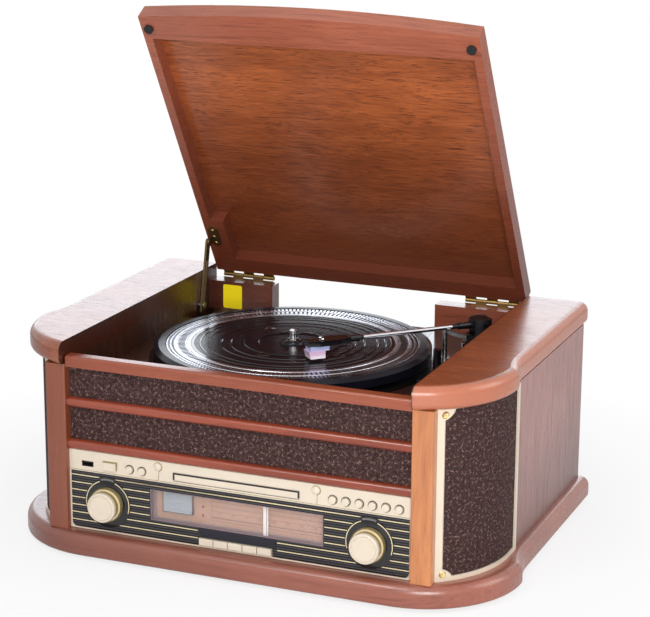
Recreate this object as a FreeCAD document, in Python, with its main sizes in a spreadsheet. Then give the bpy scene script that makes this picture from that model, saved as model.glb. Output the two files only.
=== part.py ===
import FreeCAD, Part
import math
import os
import Sketcher

# Retro wooden music center: a cabinet with a lifting lid, a belt-driven turntable, a radio dial and a disc drawer.
# Millimetres, +X right, +Y to the back, +Z up. The origin is on the floor, under the middle of the outline.
# Heights are measured from the floor, and depths from the front face of the posts.

SIZES = {
    # Cabinet
    "post_face_y": -172.0,
    "foot_height": 3.5,
    "foot_radius": 9.0,
    "foot_inset": 42.0,
    "plinth_height": 22.5,
    "wall_height": 168.6,
    "cap_thickness": 23.0,
    "cabinet_depth": 344.7,
    "opening_width": 357.4,
    "post_width": 21.3,
    "post_depth": 20.0,
    "post_edge": 2.0,
    "well_reveal": 1.6,
    "inner_board": 12.0,
    "side_board": 12.0,
    "back_board": 6.0,
    # Bowed outlines of the plinth and of the caps
    "plinth_lip": 10.5,
    "plinth_ear": 8.0,
    "plinth_front": 11.0,
    "plinth_rear": 5.3,
    "plinth_round": 9.0,
    "plinth_under_round": 4.0,
    "cap_lip": 3.0,
    "cap_ear": 6.5,
    "cap_front": 10.5,
    "cap_rear": 2.1,
    "cap_round": 9.0,
    "cap_under_round": 7.0,
    "ear_radius": 100.0,
    "ear_tip_radius": 10.0,
    "cove_radius": 110.0,
    # Speaker grilles at the corners
    "grille_width": 42.5,
    "grille_radius": 108.0,
    "grille_set": 13.13,
    "grille_tail": 22.0,
    "cloth_board": 6.0,
    "frame_thickness": 1.6,
    "frame_border": 5.4,
    "frame_foot": 4.2,
    "frame_head": 1.5,
    "frame_ear": 13.0,
    "speaker_radius": 38.0,
    "speaker_depth": 26.0,
    "speaker_rim": 4.0,
    "magnet_radius": 17.0,
    "speaker_turn": 15.0,
    # Front
    "rail_front": 2.0,
    "rail_rear": 14.0,
    "rail_height": 11.0,
    "rail_rise": 8.4,
    "rail_round": 3.0,
    "cloth_front": 10.0,
    "bead_height": 9.8,
    "bead_front": 3.0,
    "upper_bead_lift": 0.8,
    # Fascia
    "fascia_front": 6.0,
    "fascia_plate": 2.5,
    "fascia_height": 81.6,
    "fascia_gap": 0.4,
    "window_side": 88.2,
    "window_rise": 20.6,
    "window_height": 31.4,
    "lens_lip": 2.5,
    "lens_thickness": 1.5,
    "dial_depth": 7.0,
    "dial_wall": 1.2,
    "display_side": 26.4,
    "display_width": 30.7,
    "display_rise": 8.9,
    "display_height": 20.5,
    "display_thickness": 4.5,
    "pointer_side": 61.2,
    "pointer_width": 5.0,
    "pointer_thickness": 1.2,
    "knob_side": 41.7,
    "knob_rise": 30.5,
    "knob_skirt_radius": 17.4,
    "knob_skirt_length": 5.0,
    "knob_collar_radius": 16.2,
    "knob_cap_radius": 15.0,
    "knob_length": 16.0,
    "knob_edge": 1.6,
    "knob_gap": 0.5,
    "shaft_radius": 3.0,
    "shaft_length": 16.0,
    "running_fit": 0.05,
    "button_radius": 3.65,
    "button_drop": 13.2,
    "button_pitch": 13.3,
    "left_button_side": 65.7,
    "right_button_side": 79.1,
    "button_stand": 2.2,
    "button_length": 11.0,
    "button_dome": 0.7,
    "switch_side": 44.0,
    "switch_width": 14.2,
    "switch_height": 8.0,
    "key_width": 14.6,
    "key_pitch": 15.3,
    "key_rise": 3.2,
    "key_height": 7.0,
    "key_stand": 3.2,
    "key_length": 14.7,
    "slide_gap": 0.3,
    "usb_side": 20.0,
    "usb_width": 12.8,
    "usb_height": 5.6,
    "usb_depth": 14.0,
    "usb_wall": 0.5,
    "usb_tongue": 1.8,
    # Disc drawer
    "disc_radius": 60.8,
    "disc_recess": 2.2,
    "tray_side": 2.7,
    "tray_end": 6.2,
    "tray_thickness": 4.6,
    "tray_front_side": 2.7,
    "tray_front_height": 7.6,
    "tray_front_thickness": 3.0,
    "spindle_slot": 19.0,
    "loader_wall": 2.5,
    "loader_spare": 16.0,
    "loader_height": 16.0,
    "loader_leg_start": 36.0,
    "loader_leg_length": 90.0,
    # Deck and turntable
    "well_depth": 32.0,
    "deck_board": 12.0,
    "deck_notch_width": 13.0,
    "deck_notch_length": 46.0,
    "base_front_gap": 18.0,
    "base_rear_gap": 3.0,
    "base_side_gap": 19.3,
    "arm_bay": 49.3,
    "base_edge": 5.0,
    "platter_chamfer": 5.0,
    "platter_rise": 15.0,
    "platter_height": 12.0,
    "platter_bevel": 3.5,
    "platter_web": 4.0,
    "platter_rim": 7.0,
    "platter_mat_step": 0.8,
    "label_ring_inner": 35.0,
    "label_ring_outer": 50.0,
    "belt_drum_radius": 62.0,
    "belt_drum_wall": 4.0,
    "platter_hub_radius": 13.0,
    "spindle_radius": 3.58,
    "journal_radius": 5.0,
    "spindle_rise": 13.5,
    "spindle_boss": 10.0,
    "base_plate": 4.0,
    "arm_plate_front": 108.0,
    "arm_plate_rear": 64.0,
    "arm_plate_left": 70.0,
    "arm_plate_right": 18.0,
    "pulley_angle": 225.0,
    "belt_span": 31.0,
    "pulley_radius": 5.0,
    "pulley_height": 8.0,
    "belt_thickness": 0.8,
    "belt_width": 4.0,
    "motor_radius": 17.0,
    "motor_length": 22.0,
    "motor_shaft_radius": 1.0,
    # Tone arm
    "arm_wall_gap": 22.3,
    "arm_rear_gap": 69.0,
    "arm_angle": 225.7,
    "arm_rise": 17.5,
    "arm_radius": 2.4,
    "arm_reach": 135.0,
    "arm_collar_radius": 3.5,
    "arm_collar_length": 26.0,
    "arm_block_front": 11.0,
    "arm_block_rear": 9.0,
    "arm_block_width": 11.4,
    "arm_block_height": 12.0,
    "arm_pin_radius": 2.0,
    "pedestal_radius": 19.0,
    "pedestal_height": 13.0,
    "turret_radius": 15.0,
    "turret_height": 8.5,
    "yoke_radius": 11.4,
    "yoke_height": 17.0,
    "head_length": 57.0,
    "head_width": 17.0,
    "head_nose": 11.0,
    "head_height": 5.4,
    "cartridge_length": 20.0,
    "cartridge_width": 13.0,
    "cartridge_height": 5.0,
    "guard_length": 17.5,
    "guard_width": 14.0,
    "guard_height": 7.4,
    "guard_overlap": 2.0,
    "lift_radius": 36.0,
    "lift_width": 3.0,
    "lift_height": 3.6,
    "lift_start": 198.0,
    "lift_end": 266.0,
    "lift_post_radius": 2.5,
    "lift_gap": 0.5,
    "rest_distance": 95.0,
    "rest_angle": 262.0,
    "rest_radius": 4.0,
    "rest_gap": 1.0,
    "lever_side": 2.0,
    "lever_front": 36.0,
    "lever_rise": 5.5,
    "lever_bearing": 8.0,
    "lever_length": 18.0,
    "lever_width": 5.0,
    "lever_thickness": 3.0,
    "lever_shaft_radius": 2.0,
    # Lid, hinges and stay
    "lid_side_gap": 1.3,
    "lid_overhang": 6.5,
    "lid_bow": 9.5,
    "lid_panel": 6.0,
    "lid_rail": 15.0,
    "lid_round": 5.0,
    "lid_front_rail": 27.0,
    "lid_side_rail": 9.0,
    "lid_rear_rail": 19.0,
    "lid_angle": 59.0,
    "lid_setback": 5.0,
    "lid_lift": 0.5,
    "stay_block_width": 16.0,
    "stay_block_length": 56.0,
    "bumper_radius": 4.75,
    "bumper_height": 3.3,
    "bumper_inset": 14.0,
    "hinge_setback": 3.8,
    "hinge_rise": 3.0,
    "hinge_barrel": 2.2,
    "hinge_pin": 1.1,
    "hinge_leaf": 1.5,
    "hinge_leaf_reach": 14.0,
    "hinge_width": 60.0,
    "hinge_inset": 9.0,
    "hinge_gap": 0.4,
    "stub_thickness": 17.7,
    "left_stub_width": 76.3,
    "right_stub_width": 96.3,
    "stay_radius": 52.0,
    "stay_pivot_angle": 5.5,
    "stay_stud_angle": 29.7,
    "stay_width": 8.0,
    "stay_thickness": 2.4,
    "stay_length": 76.0,
    "stay_slot_start": 19.0,
    "stay_slot_end": 71.6,
    "stay_slot_width": 4.6,
    "stay_wall_gap": 2.2,
    "stud_radius": 2.0,
    "stud_head_radius": 3.6,
    "stud_head": 1.2,
    "bracket_thickness": 1.6,
    "bracket_length": 26.0,
    "bracket_width": 12.0,
    "bracket_round": 5.0,
    "bracket_offset": 5.0,
    # Rear and inside
    "socket_panel_x": 120.0,
    "socket_pitch": 20.0,
    "socket_z": 80.0,
    "socket_radius": 4.15,
    "socket_bore": 1.6,
    "socket_stand": 8.0,
    "vent_count": 7.0,
    "vent_pitch": 9.0,
    "vent_width": 70.0,
    "vent_height": 3.6,
    "vent_bottom": 96.0,
    "board_side": 7.3,
    "board_length": 120.0,
    "board_width": 150.0,
    "board_thickness": 1.6,
    "standoff_height": 6.0,
    "standoff_radius": 3.0,
    "transformer_length": 48.0,
    "transformer_width": 56.0,
    "transformer_height": 42.0,
}

BUTTON_COUNT_LEFT = 2
BUTTON_COUNT_RIGHT = 6
KEY_COUNT = 5
HINGE_KNUCKLES = 5


class Formula:
    """A number together with the spreadsheet formula that gives it."""

    def __init__(self, value, text):
        self.value = float(value)
        self.text = text

    def __add__(self, other):
        other = formula(other)
        return Formula(self.value + other.value, f"({self.text} + {other.text})")

    def __sub__(self, other):
        other = formula(other)
        return Formula(self.value - other.value, f"({self.text} - {other.text})")

    def __mul__(self, other):
        other = formula(other)
        return Formula(self.value * other.value, f"({self.text} * {other.text})")

    def __truediv__(self, other):
        other = formula(other)
        return Formula(self.value / other.value, f"({self.text} / {other.text})")

    def __neg__(self):
        return Formula(-self.value, f"(0 - {self.text})")

    def __radd__(self, other):
        return formula(other) + self

    def __rsub__(self, other):
        return formula(other) - self

    def __rmul__(self, other):
        return formula(other) * self


def formula(number):
    """Wraps a plain number, and leaves a formula as it is."""
    if isinstance(number, Formula):
        return number
    return Formula(number, f"{float(number):.6f}")


def root(square):
    return Formula(math.sqrt(square.value), f"sqrt({square.text})")


def smaller(first, second):
    return Formula(min(first.value, second.value), f"min({first.text}; {second.text})")


def sine(degrees):
    return Formula(math.sin(math.radians(degrees.value)), f"sin({degrees.text})")


def cosine(degrees):
    return Formula(math.cos(math.radians(degrees.value)), f"cos({degrees.text})")


class Sheet:
    """The driving sizes, each one an aliased cell and an attribute of this object."""

    def __init__(self, document):
        cells = document.addObject("Spreadsheet::Sheet", "Sizes")
        for row, (name, value) in enumerate(SIZES.items(), start=1):
            cells.set(f"A{row}", name)
            cells.set(f"B{row}", str(value))
            cells.setAlias(f"B{row}", name)
            setattr(self, name, Formula(value, f"<<Sizes>>.{name}"))


doc = FreeCAD.newDocument("MusicCenter")
S = Sheet(doc)
doc.recompute()
NODES = []


# Drawing helpers

def bind(thing, path, size):
    thing.setExpression(path, formula(size).text)


def place(thing, x=0, y=0, z=0, axis=None, angle=0):
    """Sets an object's place from formulas, and its turn about one axis."""
    spot = FreeCAD.Vector(*(formula(v).value for v in (x, y, z)))
    turn = FreeCAD.Rotation(FreeCAD.Vector(*(axis or (0, 0, 1))), formula(angle).value)
    thing.Placement = FreeCAD.Placement(spot, turn)
    for name, value in (("x", x), ("y", y), ("z", z)):
        bind(thing, f"Placement.Base.{name}", value)
    if axis:
        bind(thing, "Placement.Rotation.Angle", angle)
    return thing


def node(label, thing):
    """Marks an object as a finished sub-part under its own name."""
    thing.Label = label
    NODES.append(thing)
    return thing


def block(x, y, z):
    """A box between three pairs of limits."""
    box = doc.addObject("Part::Box", "Block")
    for name, (low, high) in zip(("Length", "Width", "Height"), (x, y, z)):
        bind(box, name, formula(high) - low)
    return place(box, x[0], y[0], z[0])


def rod(radius, length, x, y, z, axis=None, angle=90):
    """A cylinder that starts at a point, upright or turned about an axis."""
    cylinder = doc.addObject("Part::Cylinder", "Rod")
    bind(cylinder, "Radius", radius)
    bind(cylinder, "Height", length)
    return place(cylinder, x, y, z, axis, angle if axis else 0)


def rod_along_x(radius, x, y, z):
    return rod(radius, formula(x[1]) - x[0], x[0], y, z, (0, 1, 0))


def rod_along_y(radius, x, y, z):
    return rod(radius, formula(y[1]) - y[0], x, y[0], z, (-1, 0, 0))


def rod_along_z(radius, x, y, z):
    return rod(radius, formula(z[1]) - z[0], x, y, z[0])


def fuse(*things):
    union = doc.addObject("Part::MultiFuse", "Union")
    union.Shapes = list(things)
    return union


def group(*things):
    """Separate solids of one kind in one sub-part."""
    compound = doc.addObject("Part::Compound", "Group")
    compound.Links = list(things)
    return compound


def cut(base, *tools):
    removed = tools[0] if len(tools) == 1 else fuse(*tools)
    difference = doc.addObject("Part::Cut", "Difference")
    difference.Base = base
    difference.Tool = removed
    return difference


def mirrored(thing):
    """The same piece on the other side of the cabinet's middle plane."""
    mirror = doc.addObject("Part::Mirroring", "Mirror")
    mirror.Source = thing
    mirror.Normal = FreeCAD.Vector(1, 0, 0)
    return mirror


def pair(thing):
    return group(thing, mirrored(thing))


def vector(point):
    return FreeCAD.Vector(formula(point[0]).value, formula(point[1]).value, 0)


def add_arc(sketch, start, end, radius, turn):
    """Adds the short arc from start to end, and tells which of its ends is the start."""
    first, last = (start, end) if turn > 0 else (end, start)
    a, b = vector(first), vector(last)
    half = (b - a) * 0.5
    size = formula(radius).value
    side = FreeCAD.Vector(-half.y, half.x, 0).normalize()
    centre = a + half + side * math.sqrt(max(size ** 2 - half.Length ** 2, 0))
    circle = Part.Circle(centre, FreeCAD.Vector(0, 0, 1), size)
    angles = [math.atan2(p.y - centre.y, p.x - centre.x) for p in (a, b)]
    arc = sketch.addGeometry(Part.ArcOfCircle(circle, angles[0], angles[1]))
    number = sketch.addConstraint(Sketcher.Constraint("Radius", arc, size))
    bind(sketch, f"Constraints[{number}]", radius)
    return arc, (1 if turn > 0 else 2)


def add_outline(sketch, points):
    """Draws a closed outline. A point is (x, y), or (x, y, radius, turn) where an arc leads on from it."""
    edges = []
    for here, after in zip(points, points[1:] + points[:1]):
        if len(here) == 4:
            edges.append(add_arc(sketch, here, after, here[2], here[3]))
        else:
            line = sketch.addGeometry(Part.LineSegment(vector(here), vector(after)))
            edges.append((line, 1))
    for index, (edge, start) in enumerate(edges):
        before, before_start = edges[index - 1]
        sketch.addConstraint(Sketcher.Constraint("Coincident", before, 3 - before_start, edge, start))
        for kind, value in zip(("DistanceX", "DistanceY"), points[index]):
            size = formula(value)
            number = sketch.addConstraint(Sketcher.Constraint(kind, -1, 1, edge, start, size.value))
            bind(sketch, f"Constraints[{number}]", size)


def add_circle(sketch, x, y, radius):
    centre = vector((x, y))
    ring = sketch.addGeometry(Part.Circle(centre, FreeCAD.Vector(0, 0, 1), formula(radius).value))
    for kind, value in (("DistanceX", x), ("DistanceY", y)):
        size = formula(value)
        number = sketch.addConstraint(Sketcher.Constraint(kind, -1, 1, ring, 3, size.value))
        bind(sketch, f"Constraints[{number}]", size)
    number = sketch.addConstraint(Sketcher.Constraint("Radius", ring, formula(radius).value))
    bind(sketch, f"Constraints[{number}]", radius)


def new_body(name):
    return doc.addObject("PartDesign::Body", name)


def new_sketch(body, role, outlines, circles=()):
    """A sketch on one of the body's own planes."""
    sketch = body.newObject("Sketcher::SketchObject", "Sketch")
    plane = next(f for f in body.Origin.OriginFeatures if f.Role == role)
    sketch.AttachmentSupport = [(plane, "")]
    sketch.MapMode = "FlatFace"
    for points in outlines:
        add_outline(sketch, points)
    for circle in circles:
        add_circle(sketch, *circle)
    return sketch


def pad(body, role, outlines, length, circles=()):
    """A prism on one of the body's planes: up from XY, to the right from YZ, to the front from XZ."""
    feature = body.newObject("PartDesign::Pad", "Pad")
    feature.Profile = new_sketch(body, role, outlines, circles)
    bind(feature, "Length", length)
    return feature


def revolve(body, points, role="XY_Plane", axis="V_Axis"):
    """A turned piece: the outline gives radius and height along the sketch's vertical axis."""
    feature = body.newObject("PartDesign::Revolution", "Turning")
    feature.Profile = new_sketch(body, role, [points])
    feature.ReferenceAxis = (feature.Profile[0], [axis])
    feature.Angle = 360
    return feature


def round_edges(body, chosen, radius):
    """Rounds the edges of a body that pass a test."""
    doc.recompute()
    base = body.Tip
    names = [f"Edge{i}" for i, edge in enumerate(base.Shape.Edges, start=1) if chosen(edge)]
    feature = body.newObject("PartDesign::Fillet", "Rounding")
    feature.Base = (base, names)
    bind(feature, "Radius", radius)
    return feature


def rectangle(x, y):
    return [(x[0], y[0]), (x[1], y[0]), (x[1], y[1]), (x[0], y[1])]


def rounded_rectangle(x, y, radius):
    (left, right), (low, high) = x, y
    inner_left, inner_right = formula(left) + radius, formula(right) - radius
    inner_low, inner_high = formula(low) + radius, formula(high) - radius
    return [
        (inner_left, low),
        (inner_right, low, radius, 1),
        (right, inner_low),
        (right, inner_high, radius, 1),
        (inner_right, high),
        (inner_left, high, radius, 1),
        (left, inner_high),
        (left, inner_low, radius, 1),
    ]


def mid_z(edge):
    return edge.valueAt((edge.FirstParameter + edge.LastParameter) / 2).z


# Shared levels and planes

def depth(distance):
    """The place of a depth behind the front face of the posts."""
    return S.post_face_y + distance


# Heights
PLINTH_TOP = S.foot_height + S.plinth_height
CAP_BOTTOM = PLINTH_TOP + S.wall_height
RAIL_TOP = CAP_BOTTOM + S.rail_rise
RAIL_BOTTOM = RAIL_TOP - S.rail_height
FASCIA_TOP = PLINTH_TOP + S.fascia_height
LOWER_BEAD = (FASCIA_TOP, FASCIA_TOP + S.bead_height)
UPPER_BEAD_Z = (LOWER_BEAD[1] + RAIL_BOTTOM) / 2 + S.upper_bead_lift
UPPER_BEAD = (UPPER_BEAD_Z - S.bead_height / 2, UPPER_BEAD_Z + S.bead_height / 2)
BUTTON_Z = FASCIA_TOP - S.button_drop
WINDOW_BOTTOM = PLINTH_TOP + S.window_rise
DECK_TOP = RAIL_TOP - S.well_depth
DECK_BOTTOM = DECK_TOP - S.deck_board
BASE_TOP = DECK_TOP + S.base_plate
PLATTER_TOP = BASE_TOP + S.platter_rise
ARM_Z = PLATTER_TOP + S.arm_rise
HINGE_Z = RAIL_TOP + S.hinge_rise

# Widths, each from the middle
OPENING = S.opening_width / 2
POST_OUTER = OPENING + S.post_width
WELL = OPENING + S.well_reveal
INNER_OUTER = WELL + S.inner_board
SIDE = POST_OUTER + S.grille_width
SIDE_INNER = SIDE - S.side_board
PLINTH_SIDE = SIDE + S.plinth_lip
CAP_SIDE = SIDE + S.cap_lip
KNOB_X = OPENING - S.knob_side
GRILLE_X = SIDE - S.grille_radius

# Depths
REAR = depth(S.cabinet_depth)
BACK_FRONT = REAR - S.back_board
STUB_FRONT = REAR - S.stub_thickness
RAIL_REAR = depth(S.rail_rear)
FASCIA_FRONT = depth(S.fascia_front)
FASCIA_REAR = FASCIA_FRONT + S.fascia_plate
GRILLE_RUN = S.grille_radius - S.grille_width
GRILLE_Y = depth(S.grille_set) + root(S.grille_radius * S.grille_radius - GRILLE_RUN * GRILLE_RUN)
SIDE_FRONT = GRILLE_Y + S.grille_tail
HINGE_Y = REAR + S.hinge_setback

# Turntable
ROOM_IN_DEPTH = STUB_FRONT - RAIL_REAR - S.base_front_gap - S.base_rear_gap
ROOM_IN_WIDTH = WELL * 2 - S.base_side_gap - S.arm_bay
BASE_RADIUS = smaller(ROOM_IN_DEPTH, ROOM_IN_WIDTH) / 2
PLATTER_RADIUS = BASE_RADIUS - S.base_edge
PLATTER_TOP_RADIUS = PLATTER_RADIUS - S.platter_chamfer
PLATTER_X = S.base_side_gap + BASE_RADIUS - WELL
PLATTER_Y = STUB_FRONT - S.base_rear_gap - BASE_RADIUS
PIVOT_X = WELL - S.arm_wall_gap
PIVOT_Y = STUB_FRONT - S.arm_rear_gap
LEVER_X = PIVOT_X + S.lever_side
LEVER_Y = PIVOT_Y - S.lever_front
PULLEY_DISTANCE = S.belt_drum_radius + S.pulley_radius + S.belt_span


# Cabinet

def ear_outline(side, ear, front, rear):
    """The right half of a bowed outline, from the corner arc's start to the rear: arc, ear tip, cove and side."""
    outer = side + ear
    start_x = outer - S.ear_radius
    start_y = depth(-front)
    ear_y = start_y + S.ear_radius
    tip_x = outer - S.ear_tip_radius
    reach = S.ear_tip_radius + S.cove_radius
    cove_x = side + S.cove_radius
    cove_y = ear_y + root(reach * reach - (cove_x - tip_x) * (cove_x - tip_x))
    share = S.ear_tip_radius / reach
    tip_end = (tip_x + (cove_x - tip_x) * share, ear_y + (cove_y - ear_y) * share)
    return [
        (start_x, start_y, S.ear_radius, 1),
        (outer, ear_y, S.ear_tip_radius, 1),
        (tip_end[0], tip_end[1], S.cove_radius, -1),
        (side, cove_y),
        (side, rear),
    ]


def is_outline_edge(edge, level, inner_limit, rear):
    """True for an edge at a level that runs along the front or the side of the bowed outline."""
    middle = edge.valueAt((edge.FirstParameter + edge.LastParameter) / 2)
    ends = [v.Point for v in edge.Vertexes]
    level_edge = all(abs(p.z - level) < 1e-4 for p in ends + [middle])
    at_rear = all(abs(p.y - rear) < 1e-4 for p in ends)
    at_inner = all(abs(abs(p.x) - inner_limit) < 1e-4 for p in ends)
    return level_edge and not at_rear and not at_inner


def base_plinth():
    rear = REAR + S.plinth_rear
    right = ear_outline(PLINTH_SIDE, S.plinth_ear, S.plinth_front, rear)
    left = []
    for index in range(len(right) - 1, -1, -1):
        x, y = -right[index][0], right[index][1]
        arc = right[index - 1][2:] if index else ()
        left.append((x, y) + tuple(arc))
    body = new_body("Plinth")
    pad(body, "XY_Plane", [right + left], S.plinth_height)
    round_edges(body, lambda e: is_outline_edge(e, S.plinth_height.value, -1, rear.value), S.plinth_round)
    round_edges(body, lambda e: is_outline_edge(e, 0, -1, rear.value), S.plinth_under_round)
    return place(body, z=S.foot_height)


def top_caps():
    rear = REAR + S.cap_rear
    outline = ear_outline(CAP_SIDE, S.cap_ear, S.cap_front, rear)
    centre_x, front_y = outline[0][0], outline[0][1]
    centre_y = front_y + S.ear_radius
    run = WELL - centre_x
    inner_front = (WELL, centre_y - root(S.ear_radius * S.ear_radius - run * run), S.ear_radius, 1)
    body = new_body("Cap")
    pad(body, "XY_Plane", [[inner_front] + outline[1:] + [(WELL, rear)]], S.cap_thickness)
    round_edges(body, lambda e: is_outline_edge(e, S.cap_thickness.value, WELL.value, rear.value), S.cap_round)
    round_edges(body, lambda e: is_outline_edge(e, 0, WELL.value, rear.value), S.cap_under_round)
    return pair(place(body, z=CAP_BOTTOM))


def rubber_feet():
    x = PLINTH_SIDE - S.foot_inset
    front, rear = depth(S.foot_inset), REAR - S.foot_inset
    feet = [rod_along_z(S.foot_radius, x, y, (0, S.foot_height)) for y in (front, rear)]
    return group(*feet, *[mirrored(foot) for foot in feet])


def side_panels():
    return pair(block((SIDE_INNER, SIDE), (SIDE_FRONT, REAR), (PLINTH_TOP, CAP_BOTTOM)))


def inner_walls():
    return pair(block((WELL, INNER_OUTER), (depth(S.post_depth), BACK_FRONT), (PLINTH_TOP, CAP_BOTTOM)))


def front_posts():
    edge = S.post_edge
    front, rear = depth(0), depth(S.post_depth)
    outline = [
        (OPENING + edge, front),
        (POST_OUTER - edge, front, edge, 1),
        (POST_OUTER, front + edge),
        (POST_OUTER, rear),
        (OPENING, rear),
        (OPENING, front + edge, edge, 1),
    ]
    body = new_body("Post")
    pad(body, "XY_Plane", [outline], S.wall_height)
    return pair(place(body, z=PLINTH_TOP))


def front_top_rail():
    front, rear, edge = depth(S.rail_front), RAIL_REAR, S.rail_round
    outline = [
        (front, RAIL_BOTTOM),
        (rear, RAIL_BOTTOM),
        (rear, RAIL_TOP),
        (front + edge, RAIL_TOP, edge, 1),
        (front, RAIL_TOP - edge),
    ]
    body = new_body("Rail")
    pad(body, "YZ_Plane", [outline], S.opening_width)
    return place(body, x=-OPENING)


def front_beads():
    """Two half-round mouldings between the cloth panels."""
    radius = S.bead_height / 2
    front, rear = depth(S.bead_front), RAIL_REAR
    beads = []
    for centre in (UPPER_BEAD_Z, LOWER_BEAD[0] + radius):
        outline = [
            (front + radius, centre + radius, radius, 1),
            (front, centre, radius, 1),
            (front + radius, centre - radius),
            (rear, centre - radius),
            (rear, centre + radius),
        ]
        body = new_body("Bead")
        pad(body, "YZ_Plane", [outline], S.opening_width)
        beads.append(place(body, x=-OPENING))
    return group(*beads)


def corner_band(inner, outer, start_x, end_y):
    """A plan strip between two offsets of the corner grille's face, from the post to the side panel."""
    centre_x, centre_y = GRILLE_X, GRILLE_Y

    def front_point(offset):
        radius = S.grille_radius + offset
        run = start_x - centre_x
        return start_x, centre_y - root(radius * radius - run * run)

    outer_radius, inner_radius = S.grille_radius + outer, S.grille_radius + inner
    return [
        front_point(outer) + (outer_radius, 1),
        (SIDE + outer, centre_y),
        (SIDE + outer, end_y),
        (SIDE + inner, end_y),
        (SIDE + inner, centre_y, inner_radius, -1),
        front_point(inner),
    ]


def speaker_cloths():
    """Cloth-covered boards: two across the front and one round each corner."""
    x, y = (-OPENING, OPENING), (depth(S.cloth_front), RAIL_REAR)
    upper = block(x, y, (UPPER_BEAD[1], RAIL_BOTTOM))
    lower = block(x, y, (LOWER_BEAD[1], UPPER_BEAD[0]))
    corner = new_body("CornerCloth")
    pad(corner, "XY_Plane", [corner_band(-S.cloth_board, formula(0), POST_OUTER, SIDE_FRONT)], S.wall_height)
    place(corner, z=PLINTH_TOP)
    return group(upper, lower, corner, mirrored(corner))


def grille_frames():
    """A thin metal surround on each corner grille, with an ear for a screw in both front corners."""
    border, end_y = S.frame_border, SIDE_FRONT
    sheet = new_body("FrameSheet")
    pad(sheet, "XY_Plane", [corner_band(formula(0), S.frame_thickness, POST_OUTER, end_y)], S.wall_height)
    place(sheet, z=PLINTH_TOP)
    window = new_body("FrameWindow")
    beyond = S.frame_thickness + border
    pad(window, "XY_Plane", [corner_band(-border, beyond, POST_OUTER + border, end_y - border)],
        S.wall_height - S.frame_foot - S.frame_head)
    place(window, z=PLINTH_TOP + S.frame_foot)
    ring = cut(sheet, window)
    ears = []
    for level in (PLINTH_TOP, CAP_BOTTOM):
        ears.append(rod_along_y(S.frame_ear, POST_OUTER, (depth(0), GRILLE_Y), level))
    second = new_body("EarSheet")
    pad(second, "XY_Plane", [corner_band(formula(0), S.frame_thickness, POST_OUTER, end_y)], S.wall_height)
    place(second, z=PLINTH_TOP)
    patch = doc.addObject("Part::Common", "Ears")
    patch.Base = second
    patch.Tool = fuse(*ears)
    return pair(fuse(ring, patch))


def back_panel():
    """The rear board, with a notch between the hinge stubs, louvre slots and holes for the sockets."""
    outline = [
        (-SIDE_INNER, PLINTH_TOP),
        (SIDE_INNER, PLINTH_TOP),
        (SIDE_INNER, CAP_BOTTOM),
        (WELL, CAP_BOTTOM),
        (WELL, DECK_TOP),
        (-WELL, DECK_TOP),
        (-WELL, CAP_BOTTOM),
        (-SIDE_INNER, CAP_BOTTOM),
    ]
    vents = []
    for index in range(int(S.vent_count.value)):
        low = S.vent_bottom + S.vent_pitch * index
        vents.append(rectangle((-S.vent_width / 2, S.vent_width / 2), (low, low + S.vent_height)))
    holes = [(x, S.socket_z, S.socket_radius) for x in socket_places()]
    body = new_body("Back")
    pad(body, "XZ_Plane", [outline] + vents, S.back_board, holes)
    return place(body, y=REAR)


def socket_places():
    return [S.socket_panel_x + S.socket_pitch * index for index in range(2)]


def rear_sockets():
    """Two round line sockets that stand through the rear board."""
    sockets = []
    for x in socket_places():
        shell = rod_along_y(S.socket_radius, x, (BACK_FRONT, REAR + S.socket_stand), S.socket_z)
        bore = rod_along_y(S.socket_bore, x, (REAR, REAR + S.socket_stand), S.socket_z)
        sockets.append(cut(shell, bore))
    return group(*sockets)


def hinge_stubs():
    """Two short walls at the rear corners of the well, which carry the hinges."""
    y, z = (STUB_FRONT, REAR), (DECK_TOP, RAIL_TOP)
    left = block((-WELL, -WELL + S.left_stub_width), y, z)
    right = block((WELL - S.right_stub_width, WELL), y, z)
    return group(left, right)


def deck_board():
    """The shelf under the turntable, notched for the stay and drilled for the motor."""
    notch_x = -WELL + S.deck_notch_width
    notch_y = STUB_FRONT - S.deck_notch_length
    post_rear = depth(S.post_depth)
    outline = [
        (-OPENING, RAIL_REAR),
        (OPENING, RAIL_REAR),
        (OPENING, post_rear),
        (WELL, post_rear),
        (WELL, BACK_FRONT),
        (notch_x, BACK_FRONT),
        (notch_x, notch_y),
        (-WELL, notch_y),
        (-WELL, post_rear),
        (-OPENING, post_rear),
    ]
    body = new_body("Deck")
    motor_x, motor_y = motor_place()
    hole = S.motor_radius + S.slide_gap + S.slide_gap
    pad(body, "XY_Plane", [outline], S.deck_board, [(motor_x, motor_y, hole)])
    return place(body, z=DECK_BOTTOM)


def speakers():
    """A cone speaker behind each corner grille: rim, basket and magnet, turned as one piece."""
    inner = S.grille_radius - S.cloth_board
    seat = root(inner * inner - S.speaker_radius * S.speaker_radius) - S.slide_gap
    rim, back = S.speaker_rim, S.speaker_depth
    magnet = S.speaker_depth - S.speaker_depth / 3
    outline = [
        (0, rim / 2),
        (S.speaker_radius - rim, 0),
        (S.speaker_radius, 0),
        (S.speaker_radius, -rim),
        (S.magnet_radius + rim, -magnet),
        (S.magnet_radius, -magnet),
        (S.magnet_radius, -back),
        (0, -back),
    ]
    body = new_body("Speaker")
    revolve(body, outline)
    turn = -S.speaker_turn
    x = GRILLE_X + seat * cosine(turn)
    y = GRILLE_Y + seat * sine(turn)
    place(body, x, y, (PLINTH_TOP + CAP_BOTTOM) / 2, (0, 0, 1), turn - 90)
    return pair(body)


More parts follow.
